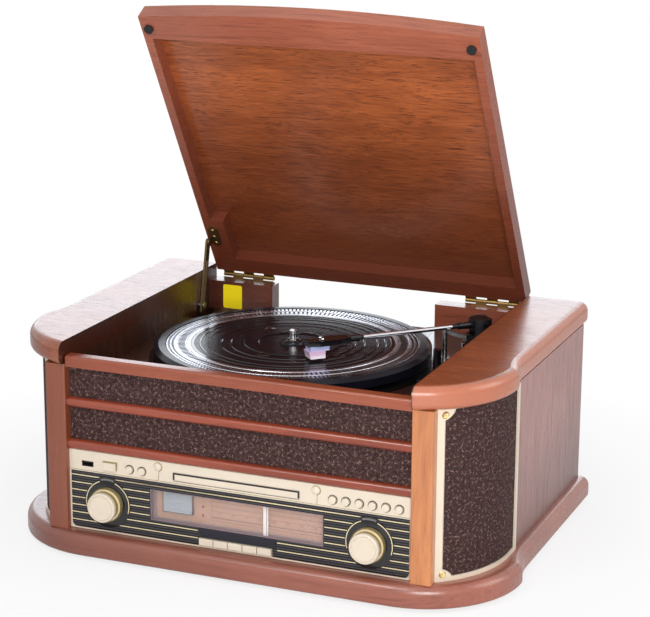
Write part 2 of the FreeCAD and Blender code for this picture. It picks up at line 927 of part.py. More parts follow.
def main_board():
    """The amplifier board on its standoffs, with the mains transformer beside it."""
    transformer_x = from_low(S.board_side - WELL, S.transformer_width)
    x = from_low(transformer_x[1] + S.foot_inset, S.board_width)
    y = (BACK_FRONT - S.board_length - S.foot_inset, BACK_FRONT - S.foot_inset)
    seat = PLINTH_TOP + S.standoff_height
    pieces = [block(x, y, (seat, seat + S.board_thickness))]
    inset = S.standoff_radius + S.standoff_radius
    for post_x in (x[0] + inset, x[1] - inset):
        for post_y in (y[0] + inset, y[1] - inset):
            pieces.append(rod_along_z(S.standoff_radius, post_x, post_y, (PLINTH_TOP, seat)))
    transformer = block(transformer_x, (y[0], y[0] + S.transformer_length),
                        (PLINTH_TOP, PLINTH_TOP + S.transformer_height))
    return group(fuse(*pieces), transformer)


# Fascia

def button_places():
    left = [S.left_button_side - OPENING + S.button_pitch * i for i in range(BUTTON_COUNT_LEFT)]
    right = [OPENING - S.right_button_side + S.button_pitch * i for i in range(BUTTON_COUNT_RIGHT)]
    return left + right


def key_places():
    return [S.key_pitch * (i - (KEY_COUNT - 1) / 2) for i in range(KEY_COUNT)]


def around(centre, size, gap=0):
    half = formula(size) / 2 + gap
    return (formula(centre) - half, formula(centre) + half)


def from_low(low, size, gap=0):
    return (formula(low) - gap, formula(low) + size + gap)


WINDOW_X = (S.window_side - OPENING, OPENING - S.window_side)
SWITCH = (around(S.switch_side - OPENING, S.switch_width), around(BUTTON_Z, S.switch_height))
USB = (around(S.usb_side - OPENING, S.usb_width), around(BUTTON_Z, S.usb_height))
TRAY_WIDTH = (S.disc_radius + S.tray_side) * 2
TRAY_LENGTH = (S.disc_radius + S.tray_end) * 2
TRAY_FRONT_WIDTH = TRAY_WIDTH + S.tray_front_side * 2
TRAY_Z = BUTTON_Z - S.tray_front_height / 2 + S.slide_gap / 2
KEY_BOTTOM = PLINTH_TOP + S.key_rise
KNOB_Z = PLINTH_TOP + S.knob_rise


def widened(limits, gap):
    return limits[0] - gap, limits[1] + gap


def fascia():
    """The moulded front plate, with an opening for everything that stands through it."""
    gap = S.slide_gap
    outline = rectangle((-OPENING, OPENING), (PLINTH_TOP + S.fascia_gap, FASCIA_TOP))
    window = rectangle(WINDOW_X, from_low(WINDOW_BOTTOM, S.window_height))
    drawer = rectangle(around(0, TRAY_FRONT_WIDTH, gap), from_low(TRAY_Z, S.tray_front_height, gap))
    switch = rectangle(*[widened(limits, gap) for limits in SWITCH])
    keys = [rectangle(around(x, S.key_width, gap), from_low(KEY_BOTTOM, S.key_height, gap)) for x in key_places()]
    holes = [(x, BUTTON_Z, S.button_radius + gap) for x in button_places()]
    holes += [(x, KNOB_Z, S.shaft_radius + S.running_fit) for x in (-KNOB_X, KNOB_X)]
    body = new_body("Fascia")
    pad(body, "XZ_Plane", [outline, window, drawer, switch, rectangle(*USB)] + keys, S.fascia_plate, holes)
    return place(body, y=FASCIA_REAR)


LENS_X = widened(WINDOW_X, S.lens_lip)
LENS_Z = from_low(WINDOW_BOTTOM, S.window_height, S.lens_lip)
DIAL_FRONT = FASCIA_REAR + S.lens_thickness
DIAL_FLOOR = DIAL_FRONT + S.dial_depth - S.dial_wall


def dial_window():
    return block(LENS_X, (FASCIA_REAR, DIAL_FRONT), LENS_Z)


def dial_scale():
    """The pan behind the window that carries the printed scale."""
    wall = S.dial_wall
    pan = block(LENS_X, (DIAL_FRONT, DIAL_FRONT + S.dial_depth), LENS_Z)
    hollow = block((LENS_X[0] + wall, LENS_X[1] - wall), (DIAL_FRONT, DIAL_FLOOR), (LENS_Z[0] + wall, LENS_Z[1] - wall))
    return cut(pan, hollow)


def lcd_display():
    return block(around(WINDOW_X[0] + S.display_side, S.display_width), (DIAL_FLOOR - S.display_thickness, DIAL_FLOOR),
                 from_low(WINDOW_BOTTOM + S.display_rise, S.display_height))


def tuning_pointer():
    """A bar that runs between the pan's upper and lower walls."""
    low, high = LENS_Z[0] + S.dial_wall + S.slide_gap, LENS_Z[1] - S.dial_wall - S.slide_gap
    front = DIAL_FRONT + S.slide_gap
    outline = rounded_rectangle(around(WINDOW_X[1] - S.pointer_side, S.pointer_width), (low, high), S.pointer_width / 4)
    body = new_body("Pointer")
    pad(body, "XZ_Plane", [outline], S.pointer_thickness)
    return place(body, y=front + S.pointer_thickness)


def knob(x):
    """A turned knob: ribbed skirt, collar, cap with an eased edge, and the shaft that passes the fascia."""
    skirt, collar, cap = S.knob_skirt_radius, S.knob_collar_radius, S.knob_cap_radius
    edge, back = S.knob_edge, -S.knob_gap
    step = -S.knob_skirt_length
    outline = [
        (0, S.shaft_length),
        (0, -S.knob_length),
        (cap - edge, -S.knob_length, edge, 1),
        (cap, -S.knob_length + edge),
        (cap, step - edge),
        (collar, step - edge),
        (collar, step),
        (skirt, step),
        (skirt, back),
        (S.shaft_radius, back),
        (S.shaft_radius, S.shaft_length),
    ]
    body = new_body("Knob")
    revolve(body, outline)
    return place(body, x=x, y=FASCIA_FRONT, z=KNOB_Z)


def round_button(x):
    radius, dome = S.button_radius, S.button_dome
    outline = [
        (0, S.button_length - S.button_stand),
        (0, -S.button_stand),
        (radius - dome, -S.button_stand, dome, 1),
        (radius, -S.button_stand + dome),
        (radius, S.button_length - S.button_stand),
    ]
    body = new_body("Button")
    revolve(body, outline)
    return place(body, x=x, y=FASCIA_FRONT, z=BUTTON_Z)


def bar_button(x, z, stand, length, edge):
    """A push button of oblong section, with its front face eased."""
    body = new_body("Bar")
    pad(body, "XZ_Plane", [rectangle(x, z)], length)
    front = FASCIA_FRONT - stand
    round_edges(body, lambda e: all(abs(v.Point.y + length.value) < 1e-4 for v in e.Vertexes), edge)
    return place(body, y=front + length)


def usb_socket():
    """A square metal shell with its contact tongue."""
    x, z = USB
    wall = S.usb_wall
    shell = block(x, (FASCIA_FRONT, FASCIA_FRONT + S.usb_depth), z)
    hollow = block((x[0] + wall, x[1] - wall), (FASCIA_FRONT, FASCIA_FRONT + S.usb_depth - wall),
                   (z[0] + wall, z[1] - wall))
    tongue = block((x[0] + wall + wall, x[1] - wall - wall),
                   (FASCIA_FRONT + S.usb_wall * 4, FASCIA_FRONT + S.usb_depth),
                   (z[1] - wall - S.usb_tongue, z[1] - wall))
    return fuse(cut(shell, hollow), tongue)


# Disc drawer

def cd_tray():
    """The drawer: front bar, flat tray, round recess for a disc and a slot for the drive's spindle."""
    front = FASCIA_FRONT - S.slide_gap
    back = front + S.tray_front_thickness
    bar = block(around(0, TRAY_FRONT_WIDTH), (front, back), from_low(TRAY_Z, S.tray_front_height))
    low = TRAY_Z + S.slide_gap
    tray = block(around(0, TRAY_WIDTH), (back, back + TRAY_LENGTH), from_low(low, S.tray_thickness))
    centre = back + TRAY_LENGTH / 2
    recess = rod_along_z(S.disc_radius, 0, centre, (low + S.tray_thickness - S.disc_recess, low + S.tray_thickness))
    slot = block(around(0, S.spindle_slot * 2), (centre, back + TRAY_LENGTH), from_low(low, S.tray_thickness))
    eye = rod_along_z(S.spindle_slot, 0, centre, (low, low + S.tray_thickness))
    return cut(fuse(bar, tray), recess, slot, eye)


def cd_loader():
    """The drawer's channel on two legs: the drawer runs on its floor, between its side walls."""
    wall, gap = S.loader_wall, S.slide_gap
    floor = TRAY_Z
    start = FASCIA_REAR + wall
    y = (start, start + TRAY_LENGTH + S.loader_spare)
    inner = TRAY_WIDTH / 2 + gap
    bottom = block((-inner - wall, inner + wall), y, (floor - wall, floor))
    pieces = [bottom]
    legs = (start + S.loader_leg_start, start + S.loader_leg_start + S.loader_leg_length)
    for sign in (-1, 1):
        x = (inner, inner + wall) if sign > 0 else (-inner - wall, -inner)
        pieces.append(block(x, y, (floor, floor + S.loader_height - wall)))
        pieces.append(block(x, legs, (PLINTH_TOP, floor - wall)))
    return fuse(*pieces)


# Turntable

def motor_place():
    x = PLATTER_X + PULLEY_DISTANCE * cosine(S.pulley_angle)
    y = PLATTER_Y + PULLEY_DISTANCE * sine(S.pulley_angle)
    return x, y


DRUM_BOTTOM = PLATTER_TOP - S.platter_height + S.slide_gap
PULLEY_BOTTOM = BASE_TOP + S.slide_gap * 4


def turntable_base():
    """The black chassis: a round plate under the platter, the arm's plate, its pedestal and the arm rest."""
    plate = (DECK_TOP, BASE_TOP)
    disc = rod_along_z(BASE_RADIUS, PLATTER_X, PLATTER_Y, plate)
    arm_plate = block((PIVOT_X - S.arm_plate_left, PIVOT_X + S.arm_plate_right),
                      (PIVOT_Y - S.arm_plate_front, PIVOT_Y + S.arm_plate_rear), plate)
    pedestal = rod_along_z(S.pedestal_radius, PIVOT_X, PIVOT_Y, (BASE_TOP, BASE_TOP + S.pedestal_height))
    rest_x = PIVOT_X + S.rest_distance * cosine(S.rest_angle)
    rest_y = PIVOT_Y + S.rest_distance * sine(S.rest_angle)
    rest_top = ARM_Z - S.arm_radius - S.rest_gap
    rest = rod_along_z(S.rest_radius, rest_x, rest_y, (BASE_TOP, rest_top))
    bearing = block((LEVER_X, LEVER_X + S.lever_width), around(LEVER_Y, S.lever_bearing),
                    (BASE_TOP, BASE_TOP + S.lever_rise + S.lever_bearing / 2))
    solid = fuse(disc, arm_plate, pedestal, rest, bearing)
    motor_x, motor_y = motor_place()
    shaft = rod_along_z(S.motor_shaft_radius + S.slide_gap, motor_x, motor_y, plate)
    lift_x, lift_y = lift_post_place()
    lift = rod_along_z(S.lift_post_radius + S.running_fit, lift_x, lift_y, plate)
    lever = rod_along_x(S.lever_shaft_radius + S.running_fit, (LEVER_X, LEVER_X + S.lever_width),
                        LEVER_Y, BASE_TOP + S.lever_rise)
    return cut(solid, shaft, lift, lever)


def spindle():
    """The record spindle: a boss on the chassis, the platter's journal, and the pin that a record drops over."""
    radius, boss, journal = S.spindle_radius, S.spindle_boss, S.journal_radius
    foot = S.platter_rise - S.platter_height - S.slide_gap
    shoulder = S.platter_rise
    height = S.platter_rise + S.spindle_rise
    tip = radius / 2
    outline = [
        (0, 0),
        (boss, 0),
        (boss, foot),
        (journal, foot),
        (journal, shoulder),
        (radius, shoulder),
        (radius, height - tip),
        (radius - tip, height),
        (0, height),
    ]
    body = new_body("Spindle")
    revolve(body, outline, "XZ_Plane")
    return place(body, PLATTER_X, PLATTER_Y, BASE_TOP)


def platter():
    """The turned platter: bevelled rim, sunk mat face, label ring, hub and the drum that the belt drives."""
    height, web, step = S.platter_height, S.platter_web, S.platter_mat_step
    under = height - web
    mat = height - step
    rim_inner = PLATTER_TOP_RADIUS - S.platter_rim
    drum_inner = S.belt_drum_radius - S.belt_drum_wall
    bore = S.journal_radius + S.running_fit
    outline = [
        (bore, 0),
        (S.platter_hub_radius, 0),
        (S.platter_hub_radius, under),
        (drum_inner, under),
        (drum_inner, S.slide_gap),
        (S.belt_drum_radius, S.slide_gap),
        (S.belt_drum_radius, under),
        (rim_inner, under),
        (rim_inner, S.slide_gap),
        (PLATTER_RADIUS, S.slide_gap),
        (PLATTER_RADIUS, height - S.platter_bevel),
        (PLATTER_TOP_RADIUS, height),
        (rim_inner, height),
        (rim_inner - step, mat),
        (S.label_ring_outer, mat),
        (S.label_ring_outer - step, height),
        (S.label_ring_inner, height),
        (S.label_ring_inner - step, mat),
        (S.platter_hub_radius, mat),
        (S.platter_hub_radius - step, height + step),
        (bore, height + step),
    ]
    body = new_body("Platter")
    revolve(body, outline, "XZ_Plane")
    return place(body, PLATTER_X, PLATTER_Y, PLATTER_TOP - S.platter_height)


def motor_pulley():
    """A flanged pulley on the motor's shaft end."""
    radius, height = S.pulley_radius, S.pulley_height
    flange, lip = radius + S.belt_thickness + S.slide_gap * 2, S.belt_thickness
    bore = S.motor_shaft_radius + S.running_fit
    outline = [
        (bore, 0),
        (flange, 0),
        (flange, lip),
        (radius, lip + lip),
        (radius, height - lip),
        (flange - lip, height),
        (bore, height),
    ]
    body = new_body("Pulley")
    revolve(body, outline, "XZ_Plane")
    x, y = motor_place()
    return place(body, x, y, PULLEY_BOTTOM)


def drive_motor():
    """The motor can under the chassis, with its shaft up through the plate."""
    x, y = motor_place()
    can = rod_along_z(S.motor_radius, x, y, (DECK_TOP - S.motor_length, DECK_TOP))
    shaft = rod_along_z(S.motor_shaft_radius, x, y, (DECK_TOP, PULLEY_BOTTOM + S.pulley_height))
    return fuse(can, shaft)


def belt_outline(spare):
    """A belt's line round the drum and the pulley, a given distance outside their rims."""
    drum, small = S.belt_drum_radius + spare, S.pulley_radius + spare
    along = PULLEY_DISTANCE
    lean = (S.belt_drum_radius - S.pulley_radius) / along
    rise = root(1 - lean * lean)
    return [
        (drum * lean, drum * rise, drum, 1),
        (-drum, 0, drum, 1),
        (drum * lean, -drum * rise),
        (along + small * lean, -small * rise, small, 1),
        (along + small * lean, small * rise),
    ]


def drive_belt():
    low = PULLEY_BOTTOM + S.belt_thickness * 2 + S.slide_gap
    body = new_body("Belt")
    inner = S.slide_gap
    pad(body, "XY_Plane", [belt_outline(inner + S.belt_thickness), belt_outline(inner)], S.belt_width)
    return place(body, PLATTER_X, PLATTER_Y, low, (0, 0, 1), S.pulley_angle)


# Tone arm: local +X runs along the arm from its pivot

def on_arm(thing):
    return place(thing, PIVOT_X, PIVOT_Y, 0, (0, 0, 1), S.arm_angle)


TURRET_BOTTOM = BASE_TOP + S.pedestal_height + S.slide_gap
TURRET_TOP = TURRET_BOTTOM + S.turret_height


def arm_group(*things):
    """Turns pieces that are drawn along +X into the arm's direction."""
    solid = fuse(*things) if len(things) > 1 else things[0]
    holder = group(solid)
    return on_arm(holder)


def tonearm_turret():
    """The drum and yoke that swing with the arm: two round-backed cheeks, bored for the lift axis."""
    radius = S.yoke_radius
    slot = S.arm_block_width / 2 + S.slide_gap
    yoke_z = (TURRET_TOP, TURRET_TOP + S.yoke_height)
    drum = rod_along_z(S.turret_radius, 0, 0, (TURRET_BOTTOM, TURRET_TOP))
    cheeks = rod_along_z(radius, 0, 0, yoke_z)
    gap = block((-radius, radius), (-slot, slot), yoke_z)
    bore = rod_along_y(S.arm_pin_radius + S.running_fit, 0, (-radius, radius), ARM_Z)
    return arm_group(cut(fuse(drum, cheeks), gap, bore))


def arm_tube():
    """The pivot block with its pins, the collar and the bright tube."""
    half = S.arm_block_width / 2
    pin = S.yoke_radius - S.slide_gap * 2
    front = S.arm_block_front
    solid = block((-S.arm_block_rear, front), (-half, half), around(ARM_Z, S.arm_block_height))
    pins = rod_along_y(S.arm_pin_radius, 0, (-pin, pin), ARM_Z)
    collar = rod_along_x(S.arm_collar_radius, (front, S.arm_collar_length), 0, ARM_Z)
    tube = rod_along_x(S.arm_radius, (S.arm_collar_length, S.arm_reach), 0, ARM_Z)
    return arm_group(solid, pins, collar, tube)


HEAD_START = S.arm_reach
HEAD_END = HEAD_START + S.head_length
HEAD_BOTTOM = ARM_Z - S.head_height / 2


def headshell():
    """A tapering head with a socket collar at the tube's end."""
    neck = S.head_length / 5
    root_half, nose_half = S.head_width / 2, S.head_nose / 2
    collar = rod_along_x(S.arm_collar_radius, (HEAD_START, HEAD_START + neck), 0, ARM_Z)
    outline = [
        (HEAD_START + neck, -nose_half),
        (HEAD_START + neck + neck, -root_half),
        (HEAD_END - neck, -root_half),
        (HEAD_END, -nose_half),
        (HEAD_END, nose_half),
        (HEAD_END - neck, root_half),
        (HEAD_START + neck + neck, root_half),
        (HEAD_START + neck, nose_half),
    ]
    shell = new_body("Head")
    pad(shell, "XY_Plane", [outline], S.head_height)
    place(shell, z=HEAD_BOTTOM)
    return arm_group(collar, shell)


def cartridge():
    """The pickup under the head, and its snap-on stylus guard below."""
    top = HEAD_BOTTOM
    body_end = HEAD_END - S.guard_overlap
    pickup = block((body_end - S.cartridge_length, body_end), around(0, S.cartridge_width), (top - S.cartridge_height, top))
    low = top - S.cartridge_height - S.guard_height
    half = S.guard_width / 2
    outline = [
        (HEAD_END - S.guard_length, low),
        (HEAD_END - S.guard_overlap, low),
        (HEAD_END, top - S.cartridge_height),
        (HEAD_END - S.guard_length, top - S.cartridge_height),
    ]
    guard = new_body("Guard")
    pad(guard, "XZ_Plane", [outline], S.guard_width)
    place(guard, y=half)
    holder = group(pickup, guard)
    return on_arm(holder)


def lift_post_place():
    angle = S.lift_start + S.lift_width
    x = PIVOT_X + S.lift_radius * cosine(angle)
    y = PIVOT_Y + S.lift_radius * sine(angle)
    return x, y


def cue_lift():
    """A curved bar under the arm on one post, which raises the arm off the record."""
    inner, outer = S.lift_radius - S.lift_width / 2, S.lift_radius + S.lift_width / 2
    start, end = S.lift_start, S.lift_end

    def spot(radius, angle):
        return radius * cosine(angle), radius * sine(angle)

    outline = [
        spot(outer, start) + (outer, 1),
        spot(outer, end),
        spot(inner, end) + (inner, -1),
        spot(inner, start),
    ]
    top = ARM_Z - S.arm_radius - S.lift_gap
    bar = new_body("LiftBar")
    pad(bar, "XY_Plane", [outline], S.lift_height)
    place(bar, PIVOT_X, PIVOT_Y, top - S.lift_height)
    x, y = lift_post_place()
    post = rod_along_z(S.lift_post_radius, x, y, (DECK_TOP + S.slide_gap, top - S.lift_height / 2))
    return fuse(bar, post)


def cue_lever():
    """A small lever on a cross shaft beside the arm."""
    y, z = LEVER_Y, BASE_TOP + S.lever_rise
    start = LEVER_X + S.lever_width + S.slide_gap
    x = (start, start + S.lever_thickness)
    shaft = rod_along_x(S.lever_shaft_radius, (LEVER_X, start), y, z)
    half = S.lever_width / 2
    outline = [
        (y + half, z),
        (y + half, z + S.lever_length, half, 1),
        (y, z + S.lever_length + half, half, 1),
        (y - half, z + S.lever_length),
        (y - half, z, half, 1),
        (y, z - half, half, 1),
    ]
    body = new_body("Lever")
    pad(body, "YZ_Plane", [outline], S.lever_thickness)
    place(body, x=x[0])
    return fuse(shaft, body)


# Lid: drawn closed about the hinge axis, with -Y to the front, then opened

LID_REAR = -S.lid_setback
LID_FRONT = -S.cabinet_depth - S.hinge_setback - S.lid_overhang
LID_HALF = WELL - S.lid_side_gap
LID_BOTTOM = S.lid_lift
LID_PANEL = LID_BOTTOM + S.lid_rail
FRONT_RAIL_REAR = LID_FRONT + S.lid_front_rail
REAR_RAIL_FRONT = LID_REAR - S.lid_rear_rail
BOW_RADIUS = (LID_HALF * LID_HALF + S.lid_bow * S.lid_bow) / (S.lid_bow * 2)


def on_lid(thing):
    return place(thing, 0, HINGE_Y, HINGE_Z, (-1, 0, 0), S.lid_angle)


def lid_panel():
    """The lid's top board, bowed at the front, with eased edges above."""
    outline = [
        (-LID_HALF, LID_REAR),
        (-LID_HALF, LID_FRONT, BOW_RADIUS, 1),
        (LID_HALF, LID_FRONT),
        (LID_HALF, LID_REAR),
    ]
    body = new_body("LidPanel")
    pad(body, "XY_Plane", [outline], S.lid_panel)
    level = S.lid_panel.value
    round_edges(body, lambda e: abs(mid_z(e) - level) < 1e-4, S.lid_round)
    place(body, z=LID_PANEL)
    return on_lid(group(body))


def lid_rails():
    """The lid's frame: bowed front rail, two side rails, rear rail and the block that takes the stay."""
    z = (LID_BOTTOM, LID_PANEL)
    outline = [
        (-LID_HALF, FRONT_RAIL_REAR),
        (-LID_HALF, LID_FRONT, BOW_RADIUS, 1),
        (LID_HALF, LID_FRONT),
        (LID_HALF, FRONT_RAIL_REAR),
    ]
    front = new_body("LidFront")
    pad(front, "XY_Plane", [outline], S.lid_rail)
    place(front, z=LID_BOTTOM)
    sides_y = (FRONT_RAIL_REAR, REAR_RAIL_FRONT)
    side = block((LID_HALF - S.lid_side_rail, LID_HALF), sides_y, z)
    rear = block((-LID_HALF, LID_HALF), (REAR_RAIL_FRONT, LID_REAR), z)
    inner = -LID_HALF + S.lid_side_rail
    stay = block((inner, inner + S.stay_block_width), (REAR_RAIL_FRONT - S.stay_block_length, REAR_RAIL_FRONT), z)
    return on_lid(group(front, side, mirrored(side), rear, stay))


def lid_bumpers():
    x = LID_HALF - S.lid_side_rail
    y = LID_FRONT + S.bumper_inset
    bumper = rod_along_z(S.bumper_radius, x, y, (LID_BOTTOM - S.bumper_height, LID_BOTTOM))
    return on_lid(pair(bumper))


HINGE_X = (WELL - S.hinge_inset - S.hinge_width, WELL - S.hinge_inset)
LEAF_EDGE = S.hinge_barrel + S.hinge_gap


def knuckle_spans(first):
    """The stretches of the hinge barrel that belong to one leaf: every second knuckle from the first."""
    length = S.hinge_width / HINGE_KNUCKLES
    spans = []
    for index in range(first, HINGE_KNUCKLES, 2):
        low = HINGE_X[0] + length * index
        gap = S.hinge_gap / 2
        spans.append((low + gap if index else low, low + length - (gap if index < HINGE_KNUCKLES - 1 else 0)))
    return spans


def from_axis(low, high, side):
    """Limits in height, above the hinge axis or as far below it."""
    return (low, high) if side > 0 else (-formula(high), -formula(low))


def hinge_leaf(first, face, side):
    """A leaf on a rear face, above or below the axis, and the necks that lead from it to its knuckles."""
    sheet = (face, face + S.hinge_leaf)
    pieces = [block(HINGE_X, sheet, from_axis(LEAF_EDGE, S.hinge_leaf_reach, side))]
    for span in knuckle_spans(first):
        pieces.append(block(span, sheet, from_axis(0, LEAF_EDGE, side)))
        pieces.append(block(span, (face, 0), from_axis(0, S.hinge_leaf, side)))
        pieces.append(rod_along_x(S.hinge_barrel, span, 0, 0))
    return fuse(*pieces)


def lid_hinge_leaves():
    """The leaves on the lid's rear edge, with the outer and middle knuckles."""
    leaf = hinge_leaf(0, LID_REAR, 1)
    bore = rod_along_x(S.hinge_pin + S.running_fit, HINGE_X, 0, 0)
    return on_lid(pair(cut(leaf, bore)))


def cabinet_hinges():
    """The leaves on the stubs' rear faces, with the pins and the knuckles between the lid's."""
    leaf = hinge_leaf(1, -S.hinge_setback, -1)
    pin = rod_along_x(S.hinge_pin, HINGE_X, 0, 0)
    return place(pair(fuse(leaf, pin)), 0, HINGE_Y, HINGE_Z)


STAY_X = (-WELL + S.stay_wall_gap, -WELL + S.stay_wall_gap + S.stay_thickness)
STAY_PIVOT = (-S.stay_radius * cosine(S.stay_pivot_angle), -S.stay_radius * sine(S.stay_pivot_angle))
STAY_EAR = (STAY_X[1] + S.slide_gap, STAY_X[1] + S.slide_gap + S.bracket_thickness)


def stay_bracket():
    """A plate on the lid's block with an ear and the pin that the stay turns on."""
    pivot_y, pivot_z = STAY_PIVOT
    ear = S.stay_width / 2
    plate_x = (STAY_EAR[0], STAY_EAR[0] + S.bracket_width)
    plate_y = around(pivot_y - S.bracket_offset, S.bracket_length)
    plate = new_body("BracketPlate")
    pad(plate, "XY_Plane", [rounded_rectangle(plate_x, plate_y, S.bracket_round)], S.bracket_thickness)
    place(plate, z=LID_BOTTOM - S.bracket_thickness)
    web = block(STAY_EAR, around(pivot_y, S.stay_width), (pivot_z, LID_BOTTOM - S.bracket_thickness))
    eye = rod_along_x(ear, STAY_EAR, pivot_y, pivot_z)
    pin = rod_along_x(S.stud_radius, (STAY_X[0] - S.slide_gap, STAY_EAR[0]), pivot_y, pivot_z)
    return on_lid(group(fuse(plate, web, eye, pin)))


def open_spot(y, z):
    """Where a point of the closed lid lies once the lid is open."""
    c, s = cosine(S.lid_angle), sine(S.lid_angle)
    return HINGE_Y + y * c + z * s, HINGE_Z - y * s + z * c


def stay_arm():
    """The slotted stay. It turns half as far as the lid, because its stud and its pin lie on one circle."""
    half = S.stay_width / 2
    slot = S.stay_slot_width / 2
    length = S.stay_length
    outline = [
        (half, 0, half, 1),
        (0, half, half, 1),
        (-half, 0),
        (-half, -length, half, 1),
        (0, -length - half, half, 1),
        (half, -length),
    ]
    window = [
        (slot, -S.stay_slot_end + slot),
        (slot, -S.stay_slot_start - slot, slot, 1),
        (0, -S.stay_slot_start, slot, 1),
        (-slot, -S.stay_slot_start - slot),
        (-slot, -S.stay_slot_end + slot, slot, 1),
        (0, -S.stay_slot_end, slot, 1),
    ]
    body = new_body("Stay")
    eye = (0, 0, S.stud_radius + S.running_fit)
    pad(body, "YZ_Plane", [outline, window], S.stay_thickness, [eye])
    y, z = open_spot(*STAY_PIVOT)
    lean = (S.lid_angle - S.stay_pivot_angle - S.stay_stud_angle) / 2
    return place(body, STAY_X[0], y, z, (-1, 0, 0), lean)


def stay_stud():
    """A headed stud in the well's left wall that runs in the stay's slot."""
    y = HINGE_Y - S.stay_radius * cosine(S.stay_stud_angle)
    z = HINGE_Z - S.stay_radius * sine(S.stay_stud_angle)
    neck_end = STAY_X[1] + S.slide_gap
    neck = rod_along_x(S.stud_radius, (-WELL, neck_end), y, z)
    head = rod_along_x(S.stud_head_radius, (neck_end, neck_end + S.stud_head), y, z)
    return fuse(neck, head)


# Assembly

def build():
    """Makes every sub-part under its own name."""
    for maker in (base_plinth, rubber_feet, side_panels, top_caps, inner_walls, front_posts, front_top_rail,
                  front_beads, speaker_cloths, grille_frames, back_panel, rear_sockets, hinge_stubs, deck_board,
                  speakers, main_board, fascia, dial_window, dial_scale, lcd_display, tuning_pointer, usb_socket,
                  cd_tray, cd_loader, turntable_base, spindle, platter, motor_pulley, drive_motor, drive_belt,
                  tonearm_turret, arm_tube, headshell, cartridge, cue_lift, cue_lever, lid_panel, lid_rails,
                  lid_bumpers, lid_hinge_leaves, cabinet_hinges, stay_bracket, stay_arm, stay_stud):
        node(maker.__name__, maker())
    node("volume_knob", knob(-KNOB_X))
    node("tuning_knob", knob(KNOB_X))
    for number, x in enumerate(button_places(), start=1):
        node(f"push_button_{number}", round_button(x))
    node("power_button", bar_button(*SWITCH, S.button_stand, S.button_length, S.button_dome))
    for number, x in enumerate(key_places(), start=1):
        key_x, key_z = around(x, S.key_width), from_low(KEY_BOTTOM, S.key_height)
        node(f"mode_key_{number}", bar_button(key_x, key_z, S.key_stand, S.key_length, S.button_dome))
    doc.recompute()


def check():
    """Stops if anything in the document failed or a sub-part isn't a sound solid."""
    faults = [thing.Label for thing in doc.Objects if {"Invalid", "Error"} & set(thing.State)]
    for part in NODES:
        shape = part.Shape
        if shape.isNull() or not shape.isValid() or not shape.Solids:
            faults.append(f"{part.Label} shape")
    if faults:
        raise RuntimeError("failed: " + ", ".join(faults))


def export():
    os.makedirs("parts", exist_ok=True)
    for part in NODES:
        part.Shape.exportStep(f"parts/{part.Label}.step")


build()
check()
export()
print(len(NODES), "sub-parts written")
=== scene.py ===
"""Dresses the music center: finishes, printed and turned details, fastenings, stage, light and camera."""

import logging
import math
from collections.abc import Callable, Iterable, Sequence
from dataclasses import dataclass
from enum import Enum
from typing import Any

import bmesh
import bpy
from mathutils import Matrix, Vector


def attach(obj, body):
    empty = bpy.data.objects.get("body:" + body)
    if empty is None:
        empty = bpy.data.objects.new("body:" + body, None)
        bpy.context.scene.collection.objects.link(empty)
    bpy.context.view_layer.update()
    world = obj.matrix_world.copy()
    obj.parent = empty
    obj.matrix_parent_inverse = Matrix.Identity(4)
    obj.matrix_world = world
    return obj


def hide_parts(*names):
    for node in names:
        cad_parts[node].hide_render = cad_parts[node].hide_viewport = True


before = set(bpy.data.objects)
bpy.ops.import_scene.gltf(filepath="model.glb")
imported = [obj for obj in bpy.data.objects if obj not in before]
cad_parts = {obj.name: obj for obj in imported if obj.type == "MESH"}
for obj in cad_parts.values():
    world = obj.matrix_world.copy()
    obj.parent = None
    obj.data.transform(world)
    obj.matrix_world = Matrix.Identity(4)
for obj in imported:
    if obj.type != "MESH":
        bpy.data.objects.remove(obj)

LOG = logging.getLogger("music_center")

MM = 0.001
PER_METRE = 1000.0
POST_FACE = -172.0
MERGE = 1e-6
FINE_MERGE = 1e-7
UPWARDS = Vector((0, 0, 1))
REARWARDS = Vector((0, 1, 0))
ARM_PIVOT = (158.0, 258.0)
ARM_HEADING = math.radians(225.7)
KNOB_X, KNOB_Z = 137.0, 56.5
INK = 0.1

Colour = tuple[int, int, int]
Point2 = tuple[float, float]
Span = tuple[float, float]
Triple = tuple[float, float, float]
Outline = Sequence[Point2]
Profile = tuple[Point2, ...]
Sizes = Sequence[float]
Places = Sequence[Vector]
Mesh = bpy.types.Mesh
Socket = bpy.types.NodeSocket


def at(x: float, depth: float, z: float) -> Vector:
    """Turns millimetres, with depth counted from the posts' front face, into the frame's metres."""
    return Vector((x * MM, (depth + POST_FACE) * MM, z * MM))


def tone(colour: Colour, factor: float = 1.0) -> tuple[float, ...]:
    """Turns a screen colour of 0 to 255 into linear light, made lighter or darker by a factor."""
    shares = [value / 255 for value in colour]
    return tuple(factor * (s / 12.92 if s <= 0.04045 else ((s + 0.055) / 1.055) ** 2.4) for s in shares)


class Grain(Enum):
    """The way a board's grain runs, as the turn that lays it along X."""

    ACROSS = (0.0, 0.0, 0.0)
    UPRIGHT = (0.0, math.pi / 2, 0.0)


class Slot(Enum):
    """The record's material slots."""

    CHAMPAGNE = "fascia_plastic"
    GOLD = "gold_plastic"
    BLACK = "black_plastic"
    MATT = "matt_black"
    DIAL = "dial_print"
    WHITE = "white_plastic"
    BRASS = "antique_brass"
    CHROME = "chrome"
    STEEL = "steel"
    WOOD = "wood"


class Kind(Enum):
    """The socket types of the node groups."""

    COUNT = "NodeSocketInt"
    VALUE = "NodeSocketFloat"
    VECTOR = "NodeSocketVector"
    COLOUR = "NodeSocketColor"
    FINISH = "NodeSocketMaterial"
    SHAPE = "NodeSocketGeometry"


# Node trees

